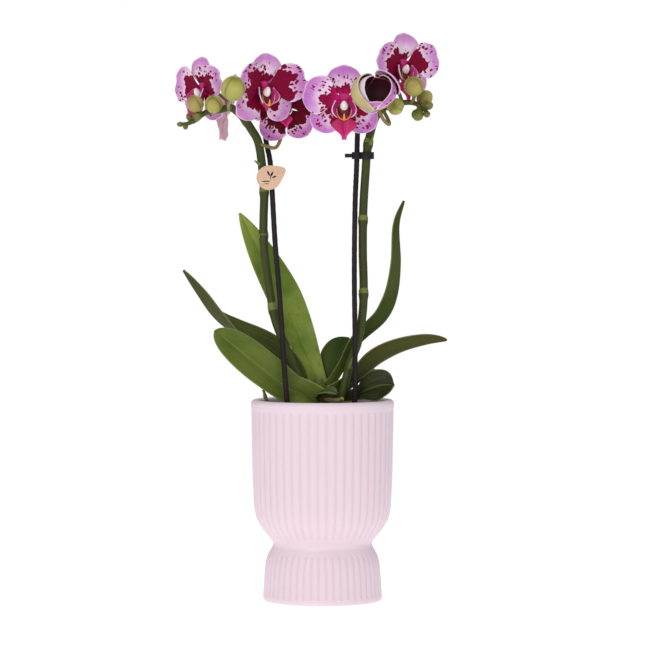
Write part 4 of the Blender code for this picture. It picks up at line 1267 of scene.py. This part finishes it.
STEMS = (
    StemPlan(
        "left_flower_stem",
        ((-11, -4, 1.5), (-13, -4, 7), (-22.8, -4, 30), (-31.8, -3, 51), (-35.4, -2, 63.8),
         (-40.2, 0, 93), (-42.3, 0, 114), (-42.4, 1, 130), (-42, 2, 149), (-43.6, 2, 169),
         (-46.2, 2, 185), (-51, 3, 194), (-58, 3, 204), (-66, 3, 210), (-73, 2, 208.5),
         (-84.7, 1, 206), (-91.2, 0, 201), (-97, 0, 198.5), (-101, 0, 198)),
        ((-35.4, -2, 63.8), (-42.2, 0.2, 117.8), (-42, 2, 149.5)),
        {"flower_a": ((-64, 3, 208.5), (-66, 10, 212), (-72, 18, 218), (-77.5, 26, 221.6)),
         "flower_b": ((-54, 3, 198), (-55, 15, 197), (-57, 30, 199), (-60.5, 43, 205)),
         "flower_c": ((-62, 3, 207.5), (-58, -2.5, 212), (-52, -5.5, 218), (-47.5, -7.5, 222)),
         "flower_d": ((-46, 1, 184), (-41, 0.5, 182.5), (-33, 11, 182), (-28, 20, 197))},
        ((((-66, 3, 210), (-67, -10, 209), (-66.5, -30, 212)), "left_bud_large"),
         (((-77, 2, 207.5), (-77.4, -1.5, 205.8)), "left_bud_middle")),
        (((-87, 1, 205), (-89, -2, 207), (-90.5, -4, 209)),),
        (BudPlan("bud_1", (-91.4, -6, 212.4), 12.5, 13, (-0.3, -0.5, 0.8)),
         BudPlan("bud_2", (-90, -4, 203.5), 7, 7.5, (0.2, -0.8, 0.2)),
         BudPlan("bud_3", (-95.8, -1, 203), 4.5, 6, (-0.4, -0.3, 0.9)),
         BudPlan("bud_4", (-98.4, -2, 196.2), 4, 4.5, (0, -0.5, -0.8)),
         BudPlan("bud_5", (-102.4, 0, 198), 4, 4.5, (-1, 0, 0))),
        (((-42, 0.5, 114.5), (-45.5, -1, 118), (-46.6, -2, 122)),
         ((-43, 2, 168.5), (-46, 0, 170), (-49, -2, 172)))),
    StemPlan(
        "right_flower_stem",
        ((11.5, -5, 0), (14, -5, 4), (19.7, -4, 25.6), (24.8, -3, 39), (27.3, -2, 51),
         (29.2, -1, 66), (29.6, 0, 84), (29, 0, 105), (29.1, 0, 128.6), (29.8, 0, 146),
         (31, 0, 164), (32, 0, 178), (34.3, 1, 191), (38.5, 2, 203), (45, 3, 210),
         (57.7, 3, 213.5), (66.5, 1, 213), (73, -1, 208.5), (76.5, -2, 205)),
        ((29.8, -0.5, 75.7), (29.1, 0, 128.6), (33, 0.5, 183.5)),
        {"flower_e": ((36.5, 1, 198), (31, 0, 207), (24, -5, 213), (17.5, -13, 216)),
         "flower_f": ((57.5, 3, 213.5), (54, 9, 224), (49, 15, 235), (49, 16, 240.4))},
        ((((63, 2, 213.5), (65, -1.5, 215)), "right_bud_large"),
         (((50, 3, 212), (51.5, -0.5, 211)), "right_bud_middle"),
         (((43.5, 2, 208.5), (47.5, -8, 200), (47, -20, 197.5), (42.5, -27.5, 202)),
          "opening_bud")),
        (((68, 1, 213), (71, 4, 214), (73, 5, 215)),
         ((69, 0, 212), (68.5, -3, 208), (68.3, -4, 205)),
         ((73, -1, 208.5), (75, -3, 210), (76, -4, 211))),
        (BudPlan("bud_1", (73.7, 5, 216.8), 12, 12.5, (0.5, 0.5, 0.7)),
         BudPlan("bud_2", (76.2, -4, 211.3), 6.5, 7, (0.6, -0.8, 0.2)),
         BudPlan("bud_3", (68.3, -4, 204.6), 9, 9.5, (-0.1, -0.8, -0.5)),
         BudPlan("bud_4", (74.8, -4.5, 205), 5, 5.5, (0.3, -0.8, -0.3))),
        (((19, -5, 22), (21, -8, 27), (21.5, -8, 31)),
         ((33, 0, 182.5), (35, -3, 186), (36, -4, 190)))),
)

OPENING_BUD = BudPlan("opening_bud", (36.6, -42.5, 220), 31.5, 25, (-0.12, -0.85, 0.5))
OPENING_HEIGHT = 27


@dataclass
class Bud:
    """A closed bud: three sepals that meet in shallow seams, blunt at the tip."""

    plan: BudPlan
    finishes: Finishes

    def foot(self) -> Vector:
        """The point where its stalk meets it."""
        axis = Vector(self.plan.tip).normalized()
        return plant(*self.plan.middle) - axis * self.plan.along * 0.49 * MM

    @staticmethod
    def seam(v: Vector) -> float:
        """How far a point lies from the nearest of the three seams, from 0 to 1."""
        return abs(math.sin(math.atan2(v.y, v.x) * 1.5 + 0.6))

    def shape(self, v: Vector) -> Vector:
        """The bud's form on a unit sphere: seams, a fuller foot and a soft beak."""
        seam = self.seam(v) ** 0.4
        press = 1 - 0.17 * (1 - seam) * (1 - v.z ** 4)
        full = 1 + 0.06 * (0.3 - v.z) * (1 - v.z * v.z)
        half, tall = self.plan.across * MM / 2, self.plan.along * MM / 2
        beak = 0.05 * max(v.z, 0) ** 6
        return Vector((v.x * half * press * full, v.y * half * press * full * 0.95,
                       v.z * tall * (1 + beak)))

    def build(self, stem: str, fine: bool = True) -> None:
        """Build the bud.

        Args:
            stem: The stem that it is part of, if it has no node of its own.
            fine: Whether it has a node of its own.
        """
        place = facing(self.plan.middle, self.plan.tip)
        bm = bmesh.new()
        size = (42, 26) if fine else (26, 16)
        ball(bm, place, self.shape, *size)
        layer = bm.verts.layers.float.new("seam")
        along = bm.verts.layers.float["along"]
        back = place.inverted()
        for vert in bm.verts:
            spot = back @ vert.co
            near = self.seam(spot)
            vert[layer] = ease((0.30 - near) / 0.30) * (vert[along] > 0.04)
        own = self.plan.name if fine else f"{stem}_{self.plan.name}"
        skin = self.finishes.bud if self.plan.across > 10 else self.finishes.young
        add_piece(own + "_skin", bm, [skin], "bud", [self.plan.name if fine else stem])


@dataclass
class Stem:
    """A flower stem with swollen nodes, sheathing bracts, stalks and its small buds."""

    plan: StemPlan
    finishes: Finishes
    radius: float = 0.0029
    stalk_radius: float = 0.0013
    bract: tuple[float, ...] = (1.3, 1.5, 1.5, 1.4, 1.25, 1.1, 0.95, 0.8, 0.65, 0.5, 0.36, 0.2)

    def girth(self, share: float, point: Vector) -> float:
        """The stem's radius, swollen at its nodes."""
        base = self.radius * blend(1.05, 0.48, ease((share - 0.62) / 0.38))
        swell = max(math.exp(-((point - plant(*node)).length / 0.0026) ** 2)
                    for node in self.plan.nodes)
        return base * (1 + 0.22 * swell)

    def build(self) -> None:
        """Build the stem, its stalks, its bracts and its small buds."""
        plan = self.plan
        route = plant_curve(plan.spine, 150)
        radii = [self.girth(index / 149, point) for index, point in enumerate(route)]
        tube_piece(plan.name + "_rod", [(route, radii, None)], self.finishes.green, 20, "stem",
                   plan.name)

        stalks = []
        for name, path in plan.pedicels.items():
            matrix = next(flower for flower in FLOWERS if flower.name == name).frame()
            points = [plant(*place) for place in path]
            points += [matrix @ Vector((0, 0, depth * MM)) for depth in (-7.5, -2.0)]
            widths = [self.stalk_radius * (1 + 0.5 * ease((index / 29 - 0.8) / 0.2))
                      for index in range(30)]
            stalks.append((curve_points(points, 30), widths, None))
        buds = {bud.name: bud for bud in (*BUDS, OPENING_BUD)}
        for path, name in plan.stalks:
            points = [plant(*place) for place in path] + [Bud(buds[name], self.finishes).foot()]
            stalks.append((curve_points(points, 18), [self.stalk_radius] * 18,
                           lambda t: t * 0.5))
        for path in plan.small_stalks:
            stalks.append((plant_curve(path, 12), [self.stalk_radius * 0.9] * 12,
                           lambda t: t * 0.3))
        tube_piece(plan.name + "_stalks", stalks, self.finishes.stalk, 14, "stem", plan.name)

        leaves = []
        for path in plan.bracts:
            widths = [self.stalk_radius * share for share in self.bract]
            leaves.append((plant_curve(path, 12), widths, lambda t: 0.2 + t * 0.5))
        for place in plan.nodes:
            leaves.append(self.sheath(place, route))
        tube_piece(plan.name + "_bracts", leaves, self.finishes.sheath, 16, "stem", plan.name)
        for bud in plan.small_buds:
            Bud(bud, self.finishes).build(plan.name, False)

    def sheath(self, place: Place, route: Sequence[Vector]) -> tuple:
        """A thin papery sleeve just above a node, as a route, radii and tone."""
        node = plant(*place)
        first = min(range(len(route)), key=lambda index: (route[index] - node).length)
        span = route[first:first + 3]
        widths = [self.radius * share for share in (1.22, 1.26, 1.08)]
        return span, widths[:len(span)], lambda t: 0.5 + 0.3 * t


@dataclass
class OpeningBud:
    """A flower just opening: cream outer sepals, a lilac inner band and a dark hollow."""

    place: Matrix = field(default_factory=lambda: facing(OPENING_BUD.middle, OPENING_BUD.tip))

    @staticmethod
    def half(grow: float) -> Vector:
        """Half the size of the bud's egg, times some growth."""
        return Vector((OPENING_BUD.across, OPENING_HEIGHT, OPENING_BUD.along)) * MM / 2 * grow

    def shell(self, name: str, turn: tuple[float, float], lift: tuple[float, float], grow: float,
              skins: Sequence[bpy.types.Material], bulge: float = 0.0) -> None:
        """Build one cupped sepal or petal, as a patch of the bud's own egg.

        Args:
            name: The piece's name.
            turn: Where it begins and ends round the bud's axis, in degrees.
            lift: Where it begins and ends from the foot up to the mouth, in degrees.
            grow: Its size against the egg.
            skins: Its outer and inner finish.
            bulge: How far its mouth flares out.
        """
        place, half = self.place, self.half(grow)

        def shape(p: float, t: float) -> Vector:
            """A point of the patch."""
            around = math.radians(blend(turn[0], turn[1], (p + 1) / 2))
            up = math.radians(blend(lift[0], lift[1], t))
            flare = 1 + bulge * t ** 3
            return place @ Vector((half.x * math.cos(around) * math.cos(up) * flare,
                                   half.y * math.sin(around) * math.cos(up) * flare,
                                   half.z * math.sin(up)))

        bm, blade = sheet_grid(30, 30, shape, True)
        tone = along_layer(bm)
        spots = bm.verts.layers.float_vector.new("spots")
        for vert in bm.verts:
            p, t, rim = vert[blade]
            vert[tone] = max(t * 0.75, ease((rim - 0.86) / 0.14))
            vert[spots] = Vector((p * 11, t * 22, 0))
        bm.normal_update()
        face = min(bm.faces, key=lambda f: (f.calc_center_median() - shape(0, 0.5)).length)
        if face.normal.dot(shape(0, 0.5) - place.translation) < 0:
            bmesh.ops.reverse_faces(bm, faces=bm.faces)
        add_piece(name, bm, skins, "bud", ["opening_bud"], 0.0008)

    def cup(self, skins: Sequence[bpy.types.Material]) -> None:
        """Build the closed foot of the bud: an egg cut open below its mouth."""
        bm = bmesh.new()
        half = self.half(0.97)
        ball(bm, Matrix.Identity(4), lambda v: Vector((v.x * half.x, v.y * half.y, v.z * half.z)),
             56, 36)
        bmesh.ops.bisect_plane(bm, geom=bm.verts[:] + bm.edges[:] + bm.faces[:],
                               plane_co=(0, 0, -0.0015), plane_no=(0, 0, 1), clear_outer=True)
        bmesh.ops.transform(bm, matrix=self.place, verts=bm.verts)
        add_piece("opening_bud_cup", bm, skins, "bud", ["opening_bud"], 0.0009)

    def build(self) -> None:
        """Build the shells from the outside in."""
        cream = Stops("bud_outer", ((0.0, "8E9444"), (0.35, "B8AC70"), (0.75, "CDBE88"),
                                    (1.0, "EADFBC")), "B08474", 0.4, 260, 0.42).material()
        lilac = Stops("bud_inner", ((0.0, "E4C4DB"), (0.5, "EAD0E6"), (1.0, "F6ECF4")),
                      "CF9CC4", 0.35, 260, 0.45).material()
        dark = Stops("bud_hollow", ((0.0, "3A0816"), (0.45, "5A0A24"), (0.75, "8C1038"),
                                    (1.0, "EBC8DC")), "2E0812", 0.3, 260, 0.6).material()
        marked = PetalSkin(Bloom.DEEP, 5.3, 0.8).material()
        self.cup([cream, dark])
        self.shell("opening_bud_tepal_back", (2, 92), (-50, 34), 1.14, [marked, marked], 0.07)
        self.shell("opening_bud_sepal_left", (98, 272), (-64, 50), 1.03, [cream, dark])
        self.shell("opening_bud_petal_left", (92, 262), (-50, 62), 0.88, [lilac, dark], -0.12)
        self.shell("opening_bud_petal_right", (-82, 82), (-56, 34), 0.97, [marked, dark], 0.03)
        self.shell("opening_bud_petal_low", (228, 318), (-56, 26), 0.95, [marked, dark])


# ------------------------------------------------------------------------ crown and roots

@dataclass
class Crown:
    """The short stem at the leaves' feet, with three aerial roots."""

    radius: float = 0.0068

    def build(self, finishes: Finishes) -> None:
        """Build the crown and its roots."""
        route = plant_curve(((-2, 0, -16), (-2, 0, -6), (-2.5, 0, 6), (-3, 0, 14)), 24)
        radii = [self.radius * blend(0.85, 1.0, ease(i / 8)) * blend(1, 0.5, ease((i - 14) / 9))
                 for i in range(24)]
        tube_piece("crown_core", [(route, radii, None)], finishes.green, 20, "crown", "plant_crown")
        skin = Stops("root_skin", ((0.0, "7E8A4C"), (0.3, "B5A078"), (0.75, "A98C68"),
                                   (1.0, "8FA03C")), "6E5138", 0.4, 700, 0.6).material()
        roots = []
        for places, size in (
                (((-6, 3, 0), (-18, 6, -1.4), (-30, 2, -3.4), (-39, -3, -2), (-42.6, -6, 7)), 1.4),
                (((1, -4, 0), (8.5, -12, 0), (13, -21, 0.5), (14, -28.5, 2)), 1.5),
                (((-30, 2, -3.4), (-36, 6, -4), (-41, 7, -4.6)), 1.1)):
            path = plant_curve(places, 40)
            widths = [size * MM * (1 + 0.12 * math.sin(i * 0.9 + size)) * (1 if i < 36 else 0.75)
                      for i in range(40)]
            roots.append((path, widths, None))
        tube_piece("aerial_roots", roots, skin, 14, "crown", "plant_crown")


# ------------------------------------------------------------------------------- supports

@dataclass
class Supports:
    """The two stakes and the stem clip, in black plastic."""

    radius: float = 0.0019
    stakes: tuple[tuple[str, tuple[Place, ...]], ...] = (
        ("left_support_stake",
         ((-25.3, -23, 0), (-27.5, -19.5, 26), (-29.1, -13, 51), (-31.4, -9.5, 83),
          (-34.1, -5, 114), (-36.0, 0.2, 146), (-37.6, 6, 170), (-40.4, 11.5, 184),
          (-41.3, 14, 190))),
        ("right_support_stake",
         ((23.1, -12, 0), (23.4, -10.5, 25), (23.3, -8.5, 51), (22.9, -6, 83), (23.0, -3, 114),
          (23.6, -1, 146), (24.4, 0, 164), (24.8, 0, 178), (25.2, 0, 195))))

    def build(self) -> None:
        """Build both stakes and dress the clip."""
        skin = Moulded("black_plastic", "1A1115", "2A1D24", 0.5).material()
        for name, places in self.stakes:
            foot = (places[0][0] * 0.75, places[0][1] * 0.75, -70)
            route = plant_curve((foot, *places), 120)
            radii = [self.radius * (1 + 0.03 * math.sin(index * 1.9)) for index in range(120)]
            tube_piece(name + "_rod", [(route, radii, None)], skin, 18, "black_plastic", name)
        clip = frame["nodes"]["stem_clip"]
        clip.data.materials.clear()
        clip.data.materials.append(skin)


@dataclass
class PlantTag:
    """The drop-shaped card tag, printed with a plain leaf sprig."""

    radius: float = 0.0088
    point: tuple[float, float] = (1.0, 0.53)
    marks: tuple[tuple[float, float, float, float, float], ...] = (
        (2.2, 2.6, 4.4, 1.5, 62), (-0.2, 3.2, 4.2, 1.4, 118), (4.0, 0.6, 3.6, 1.2, 20),
        (1.4, 0.3, 4.8, 0.5, 75), (-2.0, -2.6, 6.0, 0.8, 0), (-1.6, -4.4, 3.6, 0.5, 0))

    def build(self) -> None:
        """Build the card and its print."""
        low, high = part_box("plant_tag")
        middle = Vector((-38.6 * MM, (low[1] + high[1]) / 2, 159.6 * MM + RIM_Z))
        stand = Matrix.Translation(middle) @ UPRIGHT
        point = Vector(self.point).normalized()
        bm = bmesh.new()
        bmesh.ops.create_circle(bm, cap_ends=True, segments=72, radius=self.radius)
        for vert in bm.verts:
            pull = max(vert.co.xy.normalized().dot(point), 0.0) ** 6
            vert.co.xy += point * pull * self.radius * 0.52
        half = (high[1] - low[1]) / 2
        bmesh.ops.translate(bm, verts=bm.verts, vec=(0, 0, -half))
        top = bmesh.ops.extrude_face_region(bm, geom=bm.faces[:])["geom"]
        lifted = [item for item in top if isinstance(item, bmesh.types.BMVert)]
        bmesh.ops.translate(bm, verts=lifted, vec=(0, 0, half * 2))
        bmesh.ops.recalc_face_normals(bm, faces=bm.faces)
        rims = [edge for edge in bm.edges if edge.calc_face_angle(0) > 1.0]
        bmesh.ops.bevel(bm, geom=rims, offset=0.0002, segments=2, profile=0.5, affect='EDGES',
                        material=-1)
        bmesh.ops.transform(bm, matrix=stand, verts=bm.verts)
        add_piece("tag_card_piece", bm, [Card().material()], "tag_card", ["plant_tag"])
        self.sprig(stand, half)

    def sprig(self, stand: Matrix, half: float) -> None:
        """Print the sprig and two plain bars, a hair proud of the card."""
        ink = Moulded("tag_ink", "2A201E", "453733", 0.7).material()
        bm = bmesh.new()
        for right, up, long, wide, turn in self.marks:
            place = Matrix.Translation((right * MM, up * MM, half)) \
                @ Matrix.Rotation(math.radians(turn), 4, 'Z')
            made = bmesh.ops.create_cone(bm, cap_ends=True, segments=20, radius1=0.5, radius2=0.5,
                                         depth=0.00016)["verts"]
            for vert in made:
                x, y, z = vert.co
                taper = 1 - 0.55 * abs(x * 2) ** 2 if turn else 1.0
                vert.co = stand @ place @ Vector((x * long * MM, y * wide * MM * taper, z))
        settle(finish_mesh("tag_print", bm, [ink], smooth=False), "tag_card", "plant_tag")


# --------------------------------------------------------------------------------- studio

@dataclass
class Studio:
    """A plain pale floor, soft light all round and the camera."""

    distance: float = 2.6
    height: float = 0.285
    aim: float = 0.1997
    daylight: float = 0.50
    lens: float = 201.0
    floor: float = 1.1
    glow: float = 0.42
    lamps: tuple[tuple[str, Place, float, float, Colour], ...] = (
        ("key", (-0.8, -1.8, 1.1), 0.9, 11.6, (1.0, 0.99, 0.97)),
        ("fill", (1.0, -1.9, 0.7), 1.2, 3.6, (0.98, 0.99, 1.0)),
        ("crest", (0.2, 0.9, 1.6), 0.8, 5, (1.0, 1.0, 1.0)))

    @staticmethod
    def aim_at(thing: bpy.types.Object, place: Place, target: Place) -> None:
        """Put a lamp or camera in its place, link it and turn it to a point."""
        thing.location = place
        look = Vector(target) - thing.location
        thing.rotation_euler = look.to_track_quat('-Z', 'Y').to_euler()
        bpy.context.scene.collection.objects.link(thing)

    def lamp(self, name: str, place: Place, size: float, power: float, warmth: Colour) -> None:
        """Add one square soft light that looks at the plant."""
        data = bpy.data.lights.new(name, 'AREA')
        data.size = size
        data.energy = power
        data.color = warmth
        self.aim_at(bpy.data.objects.new(name, data), place, (0, 0, 0.2))

    def build(self) -> None:
        """Build the floor, the lights and the camera."""
        bm = bmesh.new()
        bmesh.ops.create_grid(bm, x_segments=2, y_segments=2, size=self.floor)
        bmesh.ops.translate(bm, verts=bm.verts, vec=(0, 0, -0.0002))
        shader = Shader("studio_floor", specular_ior_level=0.0)
        cloud = shader.noise(shader.objects(), 0.4, 1)
        shader.surface.inputs["Emission Color"].default_value = (1, 1, 1, 1)
        shader.surface.inputs["Emission Strength"].default_value = self.glow
        white = shader.dress(shader.mix("FFFFFF", "FBFBFB", cloud), 0.9)
        floor = finish_mesh("floor", bm, [white])
        world = bpy.data.worlds.new("studio_world")
        bpy.context.scene.world = world
        world.use_nodes = True
        sky = world.node_tree.nodes["Background"]
        sky.inputs["Color"].default_value = (1, 1, 1, 1)
        rays = world.node_tree.nodes.new("ShaderNodeLightPath")
        lift = world.node_tree.nodes.new("ShaderNodeMath")
        lift.operation = 'MAXIMUM'
        lift.inputs[1].default_value = self.daylight
        world.node_tree.links.new(rays.outputs["Is Camera Ray"], lift.inputs[0])
        world.node_tree.links.new(lift.outputs[0], sky.inputs["Strength"])
        for lamp in self.lamps:
            self.lamp(*lamp)
        data = bpy.data.cameras.new("camera")
        data.lens = self.lens
        data.sensor_width = 36
        data.clip_end = 50
        camera = bpy.data.objects.new("camera", data)
        self.aim_at(camera, (0, -self.distance, self.height), (0, 0, self.aim))
        bpy.context.scene.camera = camera
        bpy.context.scene.view_settings.view_transform = 'Standard'


def main() -> None:
    """Build the whole plant in order."""
    logging.basicConfig(level=logging.INFO, format="%(name)s: %(message)s")
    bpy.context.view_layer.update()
    Studio().build()
    finishes = Finishes()
    CoverPot().build()
    nursery = frame["nodes"]["nursery_pot"]
    nursery.data.materials.clear()
    nursery.data.materials.append(Moulded("nursery_plastic", "3B2A24", "54423A", 0.5).material())
    Substrate().build()
    Crown().build(finishes)
    for plan in LEAVES:
        Leaf(plan).build()
    for plan in FLOWERS:
        Flower(plan, finishes).build()
    for plan in STEMS:
        Stem(plan, finishes).build()
    for plan in BUDS:
        Bud(plan, finishes).build("")
    OpeningBud().build()
    Supports().build()
    PlantTag().build()
    bpy.context.view_layer.update()


if __name__ == "__main__":
    main()
